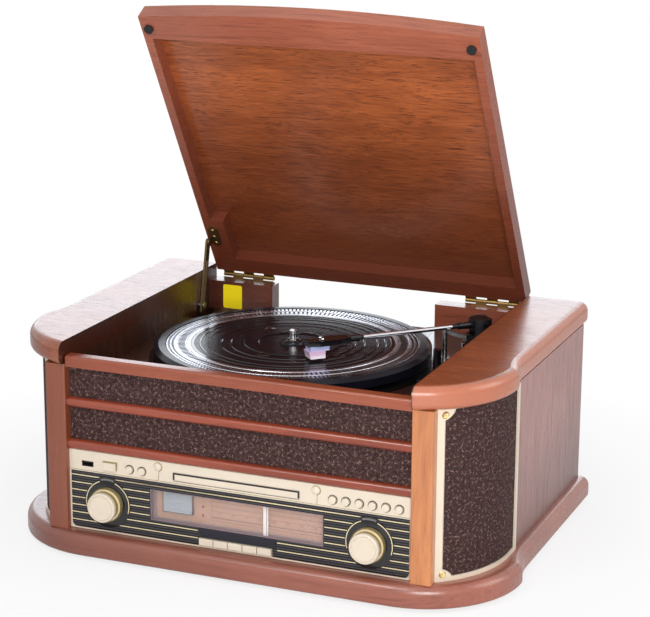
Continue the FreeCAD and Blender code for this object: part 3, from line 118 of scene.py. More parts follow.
class Tree:
    """A node tree under construction."""

    def __init__(self, tree: bpy.types.NodeTree) -> None:
        """Keeps the tree and clears it."""
        self.tree = tree
        tree.nodes.clear()

    def add(self, kind: str, inputs: dict[Any, Any] | None = None, **settings: Any) -> bpy.types.Node:
        """Adds a node.

        Args:
            kind: The node's type name.
            inputs: A value, or a socket to link, for each input by name or number.
            **settings: The node's own properties.

        Returns:
            The new node.
        """
        node = self.tree.nodes.new(kind)
        for name, value in settings.items():
            setattr(node, name, value)
        for key, value in (inputs or {}).items():
            self.feed(node.inputs[key], value)
        return node

    def out(self, kind: str, inputs: dict[Any, Any] | None = None, **settings: Any) -> Socket:
        """Adds a node and returns its first output."""
        return self.add(kind, inputs, **settings).outputs[0]

    def feed(self, socket: Socket, value: Any) -> None:
        """Links a socket to an input, or sets the input's value."""
        if isinstance(value, Socket):
            self.tree.links.new(value, socket)
        elif socket.type == "RGBA" and len(value) == 3:
            socket.default_value = (*value, 1.0)
        else:
            socket.default_value = value

    def math(self, operation: str, *values: Any) -> Socket:
        """Adds a Math node and returns its result."""
        return self.out("ShaderNodeMath", dict(enumerate(values)), operation=operation)

    def vector(self, operation: str, *values: Any) -> Socket:
        """Adds a Vector Math node and returns its vector."""
        return self.out("ShaderNodeVectorMath", dict(enumerate(values)), operation=operation)

    def measure(self, operation: str, *values: Any) -> Socket:
        """Adds a Vector Math node and returns its number."""
        node = self.add("ShaderNodeVectorMath", dict(enumerate(values)), operation=operation)
        return node.outputs["Value"]

    def spread(self, value: Any, source: Span = (0.3, 0.7), target: Span = (0.0, 1.0)) -> Socket:
        """Adds a clamped Map Range node from one span to another, and returns its result."""
        limits = {"From Min": source[0], "From Max": source[1], "To Min": target[0], "To Max": target[1]}
        return self.out("ShaderNodeMapRange", {"Value": value, **limits})

    def mix(self, share: Any, first: Any, second: Any) -> Socket:
        """Adds a colour Mix node and returns its result."""
        return self.add("ShaderNodeMix", {0: share, 6: first, 7: second}, data_type="RGBA").outputs[2]

    def noise(self, place: Any, scale: float, detail: float = 2.0, roughness: float = 0.5) -> Socket:
        """Adds a Noise Texture node and returns its value."""
        inputs = {"Vector": place, "Scale": scale, "Detail": detail, "Roughness": roughness}
        return self.out("ShaderNodeTexNoise", inputs)

    def combine(self, **parts: Any) -> Socket:
        """Adds a Combine XYZ node with the parts given by axis, and returns its vector."""
        return self.out("ShaderNodeCombineXYZ", parts)


def add_sockets(group: bpy.types.NodeTree, inputs: dict[str, Kind], outputs: dict[str, Kind]) -> None:
    """Gives a node group its named inputs and outputs."""
    for way, labels in (("INPUT", inputs), ("OUTPUT", outputs)):
        for label, kind in labels.items():
            group.interface.new_socket(label, in_out=way, socket_type=kind.value)


def shader_group(name: str, inputs: dict[str, Kind], outputs: dict[str, Kind],
                 fill: Callable[[Tree, Any], dict[str, Socket]]) -> bpy.types.NodeTree:
    """Makes a shader node group.

    Args:
        name: The group's name.
        inputs: Each input's kind.
        outputs: Each output's kind.
        fill: Adds the nodes, and gives a socket for each output.

    Returns:
        The finished group.
    """
    group = bpy.data.node_groups.new(name, "ShaderNodeTree")
    add_sockets(group, inputs, outputs)
    tree = Tree(group)
    tree.add("NodeGroupOutput", fill(tree, tree.add("NodeGroupInput").outputs))
    return group


def fill_grain(tree: Tree, given: Any) -> dict[str, Socket]:
    """Fills the stained grain group: soft figure, short bent fibres, fine pores and mottled stain.

    Args:
        tree: The group's tree.
        given: The group's input sockets.

    Returns:
        The sockets for Colour, Gloss and Height.
    """
    place = given["Place"]
    drift = tree.noise(tree.vector("MULTIPLY", place, (2.0, 9.0, 9.0)), scale=2.4)
    sway = tree.math("MULTIPLY", drift, 0.03)
    bent = tree.vector("ADD", place, tree.combine(Y=sway, Z=sway))
    bands = {"Vector": bent, "Scale": 15.0, "Distortion": 4.5, "Detail": 2.0, "Detail Scale": 1.5}
    figure = tree.add("ShaderNodeTexWave", bands, wave_type="BANDS", bands_direction="Y").outputs["Fac"]
    along = tree.vector("MULTIPLY", bent, given["Fibre"])
    fibres = tree.noise(along, scale=1.0, detail=3.0, roughness=0.6)
    pores = tree.spread(tree.noise(along, scale=2.0), (0.56, 0.68))
    patches = tree.vector("MULTIPLY", place, (4.0, 9.0, 9.0))
    stain = tree.noise(patches, scale=1.6, detail=3.0, roughness=0.55)
    stain = tree.spread(stain, (0.34, 0.66), (-0.14, 0.24))
    shade = tree.math("MULTIPLY_ADD", tree.spread(fibres), 0.55, stain)
    shade = tree.math("MULTIPLY_ADD", figure, given["Figure"], shade)
    colour = tree.mix(tree.spread(shade, (0.0, 0.9)), given["Light"], given["Dark"])
    colour = tree.mix(tree.math("MULTIPLY", pores, given["Pores"]), colour, given["Pore Colour"])
    gloss = tree.spread(tree.math("ADD", fibres, pores), (0.2, 1.4))
    height = tree.math("SUBTRACT", tree.math("MULTIPLY", fibres, 0.4), pores)
    return {"Colour": colour, "Gloss": gloss, "Height": height}


def fill_skin(tree: Tree, given: Any) -> dict[str, Socket]:
    """Fills the moulded skin group: cloudy tone, fine speckle and handling marks.

    Args:
        tree: The group's tree.
        given: The group's input sockets.

    Returns:
        The sockets for Colour, Roughness and Height.
    """
    place = given["Place"]
    cloud = tree.noise(place, scale=38.0, detail=3.0, roughness=0.55)
    speckle = tree.noise(place, scale=2600.0, detail=1.0)
    streaks = tree.vector("MULTIPLY", place, (60.0, 60.0, 240.0))
    marks = tree.noise(streaks, scale=1.0, detail=4.0, roughness=0.65)
    marks = tree.spread(marks, (0.35, 0.7), (-1.0, 1.0))
    both = tree.math("ADD", tree.math("MULTIPLY", cloud, 0.7), tree.math("MULTIPLY", speckle, 0.3))
    colour = tree.mix(tree.spread(both, (0.25, 0.75)), given["Low"], given["High"])
    roughness = tree.math("ADD", given["Roughness"], tree.math("MULTIPLY", marks, given["Wear"]))
    return {"Colour": colour, "Roughness": roughness, "Height": speckle}


GRAIN_GROUP = shader_group(
    "stained_grain",
    {"Place": Kind.VECTOR, "Light": Kind.COLOUR, "Dark": Kind.COLOUR, "Pore Colour": Kind.COLOUR,
     "Fibre": Kind.VECTOR, "Figure": Kind.VALUE, "Pores": Kind.VALUE},
    {"Colour": Kind.COLOUR, "Gloss": Kind.VALUE, "Height": Kind.VALUE}, fill_grain)
SKIN_GROUP = shader_group(
    "moulded_skin",
    {"Place": Kind.VECTOR, "Low": Kind.COLOUR, "High": Kind.COLOUR, "Roughness": Kind.VALUE,
     "Wear": Kind.VALUE},
    {"Colour": Kind.COLOUR, "Roughness": Kind.VALUE, "Height": Kind.VALUE}, fill_skin)


# Finishes

class Surface(Tree):
    """A material's tree, with its Principled shader and the object's coordinates."""

    def __init__(self, material: bpy.types.Material) -> None:
        """Starts the tree with its shader, its output and its coordinates."""
        material.use_nodes = True
        super().__init__(material.node_tree)
        self.shader = self.add("ShaderNodeBsdfPrincipled")
        self.add("ShaderNodeOutputMaterial", {"Surface": self.shader.outputs[0]})
        self.place = self.add("ShaderNodeTexCoord").outputs["Object"]

    def axes(self) -> Any:
        """Adds a Separate XYZ node for the coordinates and returns its outputs."""
        return self.add("ShaderNodeSeparateXYZ", {0: self.place}).outputs

    def paint(self, values: dict[str, Any]) -> None:
        """Feeds the shader's inputs by name."""
        for name, value in values.items():
            self.feed(self.shader.inputs[name], value)

    def bump(self, height: Any, distance: float, strength: float = 1.0) -> None:
        """Feeds a height to the shader's normal."""
        inputs = {"Height": height, "Distance": distance, "Strength": strength}
        self.paint({"Normal": self.out("ShaderNodeBump", inputs)})


@dataclass(frozen=True)
class Finish:
    """What every finish has: a name, and a material that is made once."""

    name: str

    def material(self) -> bpy.types.Material:
        """Gives the finish's material, and makes it the first time."""
        made = bpy.data.materials.get(self.name)
        if made is None:
            made = bpy.data.materials.new(self.name)
            self.dress(Surface(made))
        return made

    def dress(self, coat: Surface) -> None:
        """Feeds the surface; each kind of finish has its own way."""
        raise NotImplementedError


@dataclass(frozen=True)
class StainedWood(Finish):
    """Stained and lacquered wood, which may be darkened along an axis and within a width of the middle by
    painted shade, and lightened below a height by a painted highlight.
    """

    light: Colour
    dark: Colour
    grain: Grain = Grain.ACROSS
    fibre: Point2 = (8.0, 260.0)
    figure: float = 0.05
    pores: float = 0.15
    roughness: float = 0.30
    coat: float = 0.55
    # Painted shade: the tone darkens towards one end of an axis.
    shade_lean: float = 0.0
    shade_lean_colour: Colour = (0, 0, 0)
    shade_lean_axis: int = 0
    shade_lean_span: Span = (-200.0, 200.0)
    # Painted shade: darker within a width of the middle.
    inside: float = 0.0
    inside_shade_tone: float = 0.35
    # Painted highlight: a lighter colour below a height, growing towards the right.
    edge: float = 0.0
    edge_highlight_colour: Colour = (0, 0, 0)
    edge_highlight_span: Span = (-100.0, 200.0)
    edge_highlight_share: float = 0.75
    pore_tone: float = 0.4
    sheen: Span = (-0.05, 0.10)
    coat_roughness: float = 0.24
    relief: float = 0.00010
    relief_strength: float = 0.55

    def with_painted_light(self, coat: Surface, colour: Socket) -> Socket:
        """Gives the grain's colour with its painted shade along an axis, its painted highlight below a
        height and its painted shade within a width of the middle.
        """
        ways = coat.axes()
        # Painted shade along an axis.
        if self.shade_lean:
            start, end = self.shade_lean_span
            share = coat.spread(ways[self.shade_lean_axis], (start * MM, end * MM), (self.shade_lean, 0.0))
            colour = coat.mix(share, colour, tone(self.shade_lean_colour))
        # Painted highlight below a height, growing towards the right.
        if self.edge:
            start, end = self.edge_highlight_span
            below = coat.math("LESS_THAN", ways[2], self.edge * MM)
            share = coat.spread(ways[0], (start * MM, end * MM), (0.0, self.edge_highlight_share))
            colour = coat.mix(coat.math("MULTIPLY", below, share), colour, tone(self.edge_highlight_colour))
        # Painted shade within a width of the middle.
        if self.inside:
            share = coat.math("LESS_THAN", coat.math("ABSOLUTE", ways[0]), self.inside * MM)
            colour = coat.mix(share, colour, tone(self.dark, self.inside_shade_tone))
        return colour

    def dress(self, coat: Surface) -> None:
        """Feeds grain, gloss and pores to the surface."""
        (along, across), (shiny, dull) = self.fibre, self.sheen
        laid = coat.out("ShaderNodeMapping", {"Vector": coat.place, "Rotation": self.grain.value})
        inputs = {"Place": laid, "Light": tone(self.light), "Dark": tone(self.dark),
                  "Pore Colour": tone(self.dark, self.pore_tone), "Figure": self.figure, "Pores": self.pores,
                  "Fibre": (along, across, across)}
        grain = coat.add("ShaderNodeGroup", inputs, node_tree=GRAIN_GROUP).outputs
        gloss = coat.spread(grain["Gloss"], (0.0, 1.0), (self.roughness + shiny, self.roughness + dull))
        coat.paint({"Base Color": self.with_painted_light(coat, grain["Colour"]), "Roughness": gloss,
                    "Coat Weight": self.coat, "Coat Roughness": self.coat_roughness})
        coat.bump(grain["Height"], self.relief, self.relief_strength)


@dataclass(frozen=True)
class Moulded(Finish):
    """Plastic, rubber or metal with a cloudy tone and a fine skin."""

    colour: Colour
    roughness: float = 0.4
    metallic: float = 0.0
    variation: float = 0.12
    wear: float = 0.05
    coat: float = 0.0
    coat_roughness: float = 0.06
    specular: float = 0.5
    skin: float = 0.00002

    def dress(self, coat: Surface) -> None:
        """Feeds tone, roughness and skin to the surface."""
        low, high = tone(self.colour, 1 - self.variation), tone(self.colour, 1 + self.variation)
        inputs = {"Place": coat.place, "Low": low, "High": high, "Roughness": self.roughness,
                  "Wear": self.wear}
        skin = coat.add("ShaderNodeGroup", inputs, node_tree=SKIN_GROUP).outputs
        coat.paint({"Base Color": skin["Colour"], "Roughness": skin["Roughness"], "Metallic": self.metallic,
                    "Specular IOR Level": self.specular, "Coat Weight": self.coat,
                    "Coat Roughness": self.coat_roughness})
        coat.bump(skin["Height"], self.skin)


@dataclass(frozen=True)
class FleckCloth(Finish):
    """Dark speaker cloth with small pale curls and a fine weave, laid round the curved corners."""

    ground: Colour
    fleck: Colour
    pitch: float = 4.3
    corner_centre: Point2 = (134.5, 99.0)
    corner_radius: float = 107.0
    corner_start: float = 55.5
    curl_radius: float = 0.25
    curl_edge: Span = (0.03, 0.11)
    curl_end: Span = (-0.05, 0.05)
    scatter: float = 0.75
    weave_scale: float = 750.0
    weave_tones: Span = (0.5, 1.6)
    weave_relief: float = 0.4
    wear_scale: float = 240.0
    wear: Span = (0.1, 0.8)
    middle_values: Span = (0.35, 0.65)
    roughness: Span = (0.85, 0.6)
    specular: float = 0.15
    relief: float = 0.00025

    def unrolled(self, coat: Surface) -> Socket:
        """Gives the cloth's flat place, in pitches, with the corners laid out by their arc."""
        x, y, z = coat.axes()
        aside = coat.math("SUBTRACT", coat.math("ABSOLUTE", x), self.corner_centre[0] * MM)
        ahead = coat.math("SUBTRACT", (self.corner_centre[1] + POST_FACE) * MM, y)
        along = coat.math("MULTIPLY", coat.math("ARCTAN2", aside, ahead), self.corner_radius * MM)
        at_corner = coat.math("GREATER_THAN", aside, self.corner_start * MM)
        across = coat.math("MULTIPLY_ADD", at_corner, coat.math("SUBTRACT", along, x), x)
        return coat.vector("MULTIPLY", coat.combine(X=across, Y=z), (PER_METRE / self.pitch,) * 3)

    def dress(self, coat: Surface) -> None:
        """Feeds curls, weave and nap to the surface."""
        flat, (dark, pale) = self.unrolled(coat), self.weave_tones
        cells = coat.add("ShaderNodeTexVoronoi", {"Vector": flat, "Scale": 1.0, "Randomness": self.scatter},
                         voronoi_dimensions="2D").outputs
        off_ring = coat.math("ABSOLUTE", coat.math("SUBTRACT", cells["Distance"], self.curl_radius))
        heading = coat.vector("SUBTRACT", cells["Color"], (0.5, 0.5, 0.5))
        beside = coat.measure("DOT_PRODUCT", coat.vector("SUBTRACT", flat, cells["Position"]), heading)
        loop = coat.spread(off_ring, self.curl_edge, (1.0, 0.0))
        curl = coat.math("MULTIPLY", loop, coat.spread(beside, self.curl_end))
        weave = coat.noise(coat.place, self.weave_scale, detail=1.0)
        share = coat.spread(weave, self.middle_values)
        ground = coat.mix(share, tone(self.ground, dark), tone(self.ground, pale))
        strength = coat.noise(coat.place, self.wear_scale, detail=1.0)
        strength = coat.spread(strength, self.middle_values, self.wear)
        colour = coat.mix(coat.math("MULTIPLY", curl, strength), ground, tone(self.fleck))
        coat.paint({"Base Color": colour, "Roughness": coat.spread(curl, (0.0, 1.0), self.roughness),
                    "Specular IOR Level": self.specular})
        coat.bump(coat.math("ADD", curl, coat.math("MULTIPLY", weave, self.weave_relief)), self.relief)


@dataclass(frozen=True)
class ClearLens(Finish):
    """A thin clear cover."""

    colour: Colour
    haze_scale: float = 45.0
    roughness: Span = (0.03, 0.08)
    alpha: Span = (0.08, 0.12)

    def dress(self, coat: Surface) -> None:
        """Feeds a faint haze to the surface."""
        haze = coat.noise(coat.place, self.haze_scale)
        coat.paint({"Base Color": tone(self.colour), "Roughness": coat.spread(haze, target=self.roughness),
                    "Alpha": coat.spread(haze, target=self.alpha)})


@dataclass(frozen=True)
class RibbedPanel(Finish):
    """Black gloss panel with fine level ribs."""

    colour: Colour
    rib: Colour
    pitch: float = 7.75 / 3
    level: float = 35.5
    rib_edge: Span = (0.10, 0.20)
    roughness: Span = (0.16, 0.34)
    relief: float = 0.00015

    def dress(self, coat: Surface) -> None:
        """Feeds the ribs to the surface."""
        shift = 0.5 - self.level / self.pitch
        phase = coat.math("FRACT", coat.math("MULTIPLY_ADD", coat.axes()[2], PER_METRE / self.pitch, shift))
        rib = coat.math("ABSOLUTE", coat.math("SUBTRACT", phase, 0.5))
        rib = coat.spread(rib, self.rib_edge, (1.0, 0.0))
        coat.paint({"Base Color": coat.mix(rib, tone(self.colour), tone(self.rib)),
                    "Roughness": coat.spread(rib, (0.0, 1.0), self.roughness)})
        coat.bump(rib, self.relief)


@dataclass(frozen=True)
class ArmFinish(Finish):
    """A bright tube that is black at its pivot block and collars."""

    chrome: Colour
    black: Colour
    block_end: float = 33.0
    collar_start: float = 131.0
    haze_scale: float = 300.0
    haze_tone: float = 0.92
    roughness: Span = (0.10, 0.16)
    black_roughness: float = 0.18

    def dress(self, coat: Surface) -> None:
        """Feeds the bright and black stretches to the surface."""
        heading = (math.cos(ARM_HEADING), math.sin(ARM_HEADING), 0.0)
        offset = coat.vector("SUBTRACT", coat.place, at(*ARM_PIVOT, 0.0))
        along = coat.measure("DOT_PRODUCT", offset, heading)
        block = coat.math("LESS_THAN", along, self.block_end * MM)
        dark = coat.math("MAXIMUM", block, coat.math("GREATER_THAN", along, self.collar_start * MM))
        haze = coat.noise(coat.place, self.haze_scale)
        bright = coat.mix(haze, tone(self.chrome, self.haze_tone), tone(self.chrome))
        roughness = coat.spread(haze, target=self.roughness)
        roughness = coat.math("MULTIPLY_ADD", dark, self.black_roughness, roughness)
        coat.paint({"Base Color": coat.mix(dark, bright, tone(self.black)), "Roughness": roughness,
                    "Metallic": coat.math("SUBTRACT", 1.0, dark)})


@dataclass(frozen=True)
class GuardFinish(Finish):
    """The pickup's pale guard, in three soft bands from its foot to its top."""

    foot: Colour
    middle: Colour
    top: Colour
    low: float = 192.4
    high: float = 205.0
    cloud_scale: float = 500.0
    cloud_shift: Span = (-0.04, 0.04)
    lower_blend: Span = (0.10, 0.36)
    upper_blend: Span = (0.42, 0.78)
    roughness: Span = (0.16, 0.26)

    def dress(self, coat: Surface) -> None:
        """Feeds the soft bands to the surface."""
        cloud = coat.noise(coat.place, self.cloud_scale)
        share = coat.spread(coat.axes()[2], (self.low * MM, self.high * MM))
        share = coat.math("ADD", share, coat.spread(cloud, target=self.cloud_shift))
        lower = coat.mix(coat.spread(share, self.lower_blend), tone(self.foot), tone(self.middle))
        coat.paint({"Base Color": coat.mix(coat.spread(share, self.upper_blend), lower, tone(self.top)),
                    "Roughness": coat.spread(cloud, target=self.roughness)})


# Where a board darkens along an axis, the darkening is painted shade: towards the left along X, and towards
# the low parts along Z.
COARSE = (22.0, 480.0)
# The caps' inner faces are darkened by painted shade, and their lower parts lightened towards the right by a
# painted highlight.
WOOD_CAP = StainedWood("stained_wood_cap", (164, 89, 54), (106, 51, 30), fibre=COARSE, figure=0.12,
                       pores=0.55, coat=0.4, inside=181.2, edge=217.0, edge_highlight_colour=(190, 113, 83))
WOOD_LID = StainedWood("stained_wood_lid", (188, 103, 57), (120, 56, 28), fibre=COARSE, figure=0.14,
                       pores=0.8, coat=0.28, shade_lean=0.8, shade_lean_colour=(84, 36, 18), shade_lean_axis=2,
                       shade_lean_span=(240.0, 440.0))
WOOD_SIDE = StainedWood("stained_wood_side", (168, 99, 84), (114, 59, 48), Grain.UPRIGHT,
                        fibre=(6.0, 240.0), figure=0.08, pores=0.5, shade_lean=0.85, shade_lean_colour=(92, 46, 36),
                        shade_lean_axis=2, shade_lean_span=(26.0, 130.0))
WOOD_RAIL = StainedWood("stained_wood_rail", (164, 84, 54), (128, 58, 35), coat=0.4, shade_lean=0.6,
                        shade_lean_colour=(118, 52, 30))
WOOD_LID_RAIL = StainedWood("stained_wood_lid_rail", (178, 102, 76), (144, 74, 52), pores=0.3, coat=0.15,
                            shade_lean=0.95, shade_lean_colour=(98, 44, 26), shade_lean_axis=2, shade_lean_span=(215.0, 520.0))
WOOD_PLINTH = StainedWood("stained_wood_plinth", (166, 99, 80), (130, 70, 54), shade_lean=0.75,
                          shade_lean_colour=(104, 52, 40))
# The posts darken towards the left partly by painted shade and partly by a tone difference between the two
# posts.
WOOD_POST = StainedWood("stained_wood_post", (204, 132, 80), (164, 94, 52), Grain.UPRIGHT,
                        fibre=(8.0, 240.0), shade_lean=0.85, shade_lean_colour=(108, 43, 27))
WOOD_BEAD = StainedWood("stained_wood_bead", (150, 66, 40), (108, 40, 22), fibre=(6.0, 260.0), figure=0.04,
                        pores=0.1, roughness=0.2, coat=0.5)
# Painted shade: the inner walls and the deck board are a darkened copy of the wood.
WOOD_SHADED_INSIDE = StainedWood("stained_wood_painted_shade", (70, 38, 27), (32, 16, 11), Grain.UPRIGHT,
                          fibre=(8.0, 220.0), pores=0.45)
WOOD_STUB = StainedWood("stained_wood_stub", (176, 98, 72), (128, 62, 44), shade_lean=0.95, shade_lean_colour=(56, 24, 17))
CLOTH = FleckCloth("fleck_cloth", (60, 42, 41), (156, 126, 117))
CHAMPAGNE = Moulded("champagne_plastic", (220, 207, 188), roughness=0.34, metallic=0.15, variation=0.05)
CREAM = Moulded("cream_frame", (224, 210, 190), roughness=0.36, metallic=0.10, variation=0.05)
# Satin gold, also used as the painted shadows beside the pins and along the power button.
GOLD = Moulded("gold_plastic_and_painted_shade", (160, 143, 100), roughness=0.38, metallic=0.5, variation=0.10)
BRIGHT_GOLD = Moulded("gold_print", (224, 208, 168), roughness=0.38, metallic=0.2, variation=0.05)
BLACK_GLOSS = Moulded("black_gloss", (14, 13, 16), roughness=0.13, variation=0.25, coat=0.4)
# The platter's black has a faint blue cast, painted to stand for the cool tint of its reflection.
PLATTER_BLACK = Moulded("platter_black", (16, 17, 26), roughness=0.24, variation=0.25, wear=0.03,
                        specular=0.22)
STROBE = Moulded("strobe_silver", (206, 208, 216), roughness=0.24, metallic=1.0, variation=0.08, wear=0.03)
MAT_BLACK = Moulded("matt_ring", (16, 16, 20), roughness=0.5, variation=0.25, specular=0.25)
# Satin black, also used as the painted shadow in the drawer's slot.
SATIN_BLACK = Moulded("satin_black", (22, 21, 24), roughness=0.38, variation=0.2)
RUBBER = Moulded("dark_rubber", (26, 25, 26), roughness=0.75, variation=0.2)
BOARD = Moulded("fibre_panel", (70, 48, 34), roughness=0.75, variation=0.2)
GREEN_BOARD = Moulded("circuit_board", (38, 84, 52), roughness=0.5, variation=0.2)
WHITE = Moulded("white_plastic_soft", (236, 234, 230), roughness=0.35, variation=0.04)
BRONZE = Moulded("dark_bronze", (100, 82, 56), roughness=0.34, metallic=0.8, variation=0.2)
LABEL = Moulded("blank_label", (112, 107, 104), roughness=0.5, variation=0.1)
PLAQUE = Moulded("plaque_black", (15, 16, 30), roughness=0.2, variation=0.2)
# Dark steel, also used as the painted shadows round the push buttons.
DARK_STEEL_AND_SHADOW = Moulded("dark_steel_and_painted_shadow", (54, 52, 54), roughness=0.42, metallic=0.6, variation=0.2)
SCREW_GOLD = Moulded("screw_gold", (220, 200, 148), roughness=0.3, metallic=0.9, variation=0.12)
BRASS = Moulded("antique_brass_dull", (136, 110, 68), roughness=0.34, metallic=1.0, variation=0.25,
                wear=0.1)
CHROME = Moulded("bright_chrome", (226, 226, 230), roughness=0.12, metallic=1.0, variation=0.05, wear=0.03)
STEEL = Moulded("plain_steel", (168, 166, 164), roughness=0.30, metallic=1.0, variation=0.1)
DIAL_PAN = Moulded("dial_pan", (138, 120, 126), roughness=0.5, variation=0.05)
DIAL_FACE = Moulded("dial_face", (184, 142, 117), roughness=0.5, variation=0.05)
DIAL_INK = Moulded("dial_ink", (128, 86, 84), roughness=0.5, variation=0.08)
DIAL_LAMP = Moulded("dial_lamp", (150, 60, 56), roughness=0.25, variation=0.1)
DISPLAY = Moulded("display_face", (140, 156, 166), roughness=0.28, variation=0.05)
YELLOW = Moulded("yellow_patch", (250, 224, 20), roughness=0.42, variation=0.04)
LENS = ClearLens("dial_lens", (238, 222, 220))
PANEL = RibbedPanel("ribbed_black_panel", (9, 9, 13), (66, 62, 68))
ARM = ArmFinish("arm_bright_and_black", (226, 226, 230), (12, 12, 14))
GUARD = GuardFinish("pale_guard", (240, 236, 242), (222, 180, 208), (166, 176, 218))

FINISHED_NODES: dict[Finish, str] = {
    WOOD_PLINTH: "base_plinth", WOOD_SIDE: "side_panels", WOOD_CAP: "top_caps", WOOD_POST: "front_posts",
    WOOD_RAIL: "front_top_rail", WOOD_BEAD: "front_beads", WOOD_SHADED_INSIDE: "inner_walls deck_board",
    WOOD_STUB: "hinge_stubs", WOOD_LID: "lid_panel", WOOD_LID_RAIL: "lid_rails", CLOTH: "speaker_cloths",
    CREAM: "grille_frames", LENS: "dial_window", DIAL_PAN: "dial_scale", DISPLAY: "lcd_display",
    WHITE: "tuning_pointer motor_pulley", DARK_STEEL_AND_SHADOW: "usb_socket", GREEN_BOARD: "main_board",
    BOARD: "back_panel", PLATTER_BLACK: "platter", CHROME: "rear_sockets spindle", ARM: "arm_tube",
    CHAMPAGNE: "fascia power_button cd_tray volume_knob tuning_knob " + " ".join(
        [f"push_button_{i}" for i in range(1, 9)] + [f"mode_key_{i}" for i in range(1, 6)]),
    SATIN_BLACK: "cd_loader speakers tonearm_turret", RUBBER: "rubber_feet drive_belt lid_bumpers",
    BLACK_GLOSS: "turntable_base headshell cue_lever", STEEL: "drive_motor cue_lift stay_stud",
    GUARD: "cartridge", BRASS: "cabinet_hinges lid_hinge_leaves", BRONZE: "stay_bracket stay_arm",
}
NODE_FINISHES = {node: finish for finish, nodes in FINISHED_NODES.items() for node in nodes.split()}


# Meshes

def finished(bm: bmesh.types.BMesh, name: str, smooth_angle: float = 30.0) -> Mesh:
    """Merges doubles, turns the faces outwards and makes a mesh.

    Args:
        bm: The shape, which is freed.
        name: The mesh's name.
        smooth_angle: Edges sharper than this many degrees stay sharp.

    Returns:
        The new mesh.
    """
    bmesh.ops.remove_doubles(bm, verts=bm.verts, dist=MERGE)
    bmesh.ops.recalc_face_normals(bm, faces=bm.faces)
    mesh = bpy.data.meshes.new(name)
    bm.to_mesh(mesh)
    bm.free()
    mesh.shade_smooth()
    mesh.set_sharp_from_angle(angle=math.radians(smooth_angle))
    return mesh


def joined(meshes: Iterable[Mesh], name: str, smooth_angle: float = 30.0) -> Mesh:
    """Puts meshes into one, which is finished as a new shape is."""
    bm = bmesh.new()
    for mesh in meshes:
        bm.from_mesh(mesh)
        bpy.data.meshes.remove(mesh)
    return finished(bm, name, smooth_angle)


def mesh_of(thing: bpy.types.Object) -> Mesh:
    """Makes a plain mesh of an object's evaluated shape, and removes the object."""
    bpy.context.scene.collection.objects.link(thing)
    graph = bpy.context.evaluated_depsgraph_get()
    graph.update()
    mesh = bpy.data.meshes.new_from_object(thing.evaluated_get(graph), depsgraph=graph)
    bpy.data.objects.remove(thing)
    return mesh


def brick(x: Span, depth: Span, z: Span, edge: float = 0.0) -> Mesh:
    """Makes a block by its limits in millimetres, with its edges broken by a width."""
    bm = bmesh.new()
    bmesh.ops.create_cube(bm, size=1.0)
    low, high = at(x[0], depth[0], z[0]), at(x[1], depth[1], z[1])
    for vert in bm.verts:
        vert.co = [low[i] if vert.co[i] < 0 else high[i] for i in range(3)]
    if edge:
        bmesh.ops.bevel(bm, geom=bm.edges[:], offset=edge * MM, segments=2, affect="EDGES", profile=0.5)
    return finished(bm, "brick")


def turned(profile: Outline, axis: Matrix, sides: int = 96) -> Mesh:
    """Turns a profile about an axis.

    Args:
        profile: Radius and height of each point, in millimetres, from one end of the axis to the other.
        axis: Where the axis, which is Z, goes.
        sides: The number of sides.

    Returns:
        The turned mesh.
    """
    bm = bmesh.new()
    verts = [bm.verts.new((radius * MM, 0.0, height * MM)) for radius, height in profile]
    edges = [bm.edges.new(pair) for pair in zip(verts, verts[1:])]
    bmesh.ops.spin(bm, geom=verts + edges, cent=(0, 0, 0), axis=UPWARDS, angle=math.tau, steps=sides,
                   use_merge=True)
    bmesh.ops.remove_doubles(bm, verts=bm.verts, dist=FINE_MERGE)
    bmesh.ops.dissolve_degenerate(bm, edges=bm.edges, dist=FINE_MERGE)
    bm.transform(axis)
    return finished(bm, "turned", smooth_angle=25.0)


def facing_front(x: float, depth: float, z: float) -> Matrix:
    """Lays a flat shape's X and Y across and upwards, with its Z towards the front."""
    return Matrix.Translation(at(x, depth, z)) @ Matrix.Rotation(math.pi / 2, 4, "X")


def arc(centre: Point2, radius: float, start: float, end: float, steps: int = 48) -> list[Point2]:
    """Gives the points of an arc between two angles in degrees."""
    angles = [math.radians(start + (end - start) * i / steps) for i in range(steps + 1)]
    return [(centre[0] + radius * math.cos(a), centre[1] + radius * math.sin(a)) for a in angles]


def circle(centre: Point2, radius: float, sides: int = 48) -> list[Point2]:
    """Gives the points of a circle."""
    return arc(centre, radius, 0.0, 360.0 - 360.0 / sides, sides - 1)


def ring_arc(centre: Point2, radii: Span, angles: Span) -> list[Point2]:
    """Gives the outline of a strip that follows an arc."""
    (inner, outer), (start, end) = radii, angles
    return arc(centre, outer, start, end) + arc(centre, inner, end, start)


def rectangle(x: Span, z: Span) -> list[Point2]:
    """Gives a rectangle's corners."""
    return [(x[0], z[0]), (x[1], z[0]), (x[1], z[1]), (x[0], z[1])]


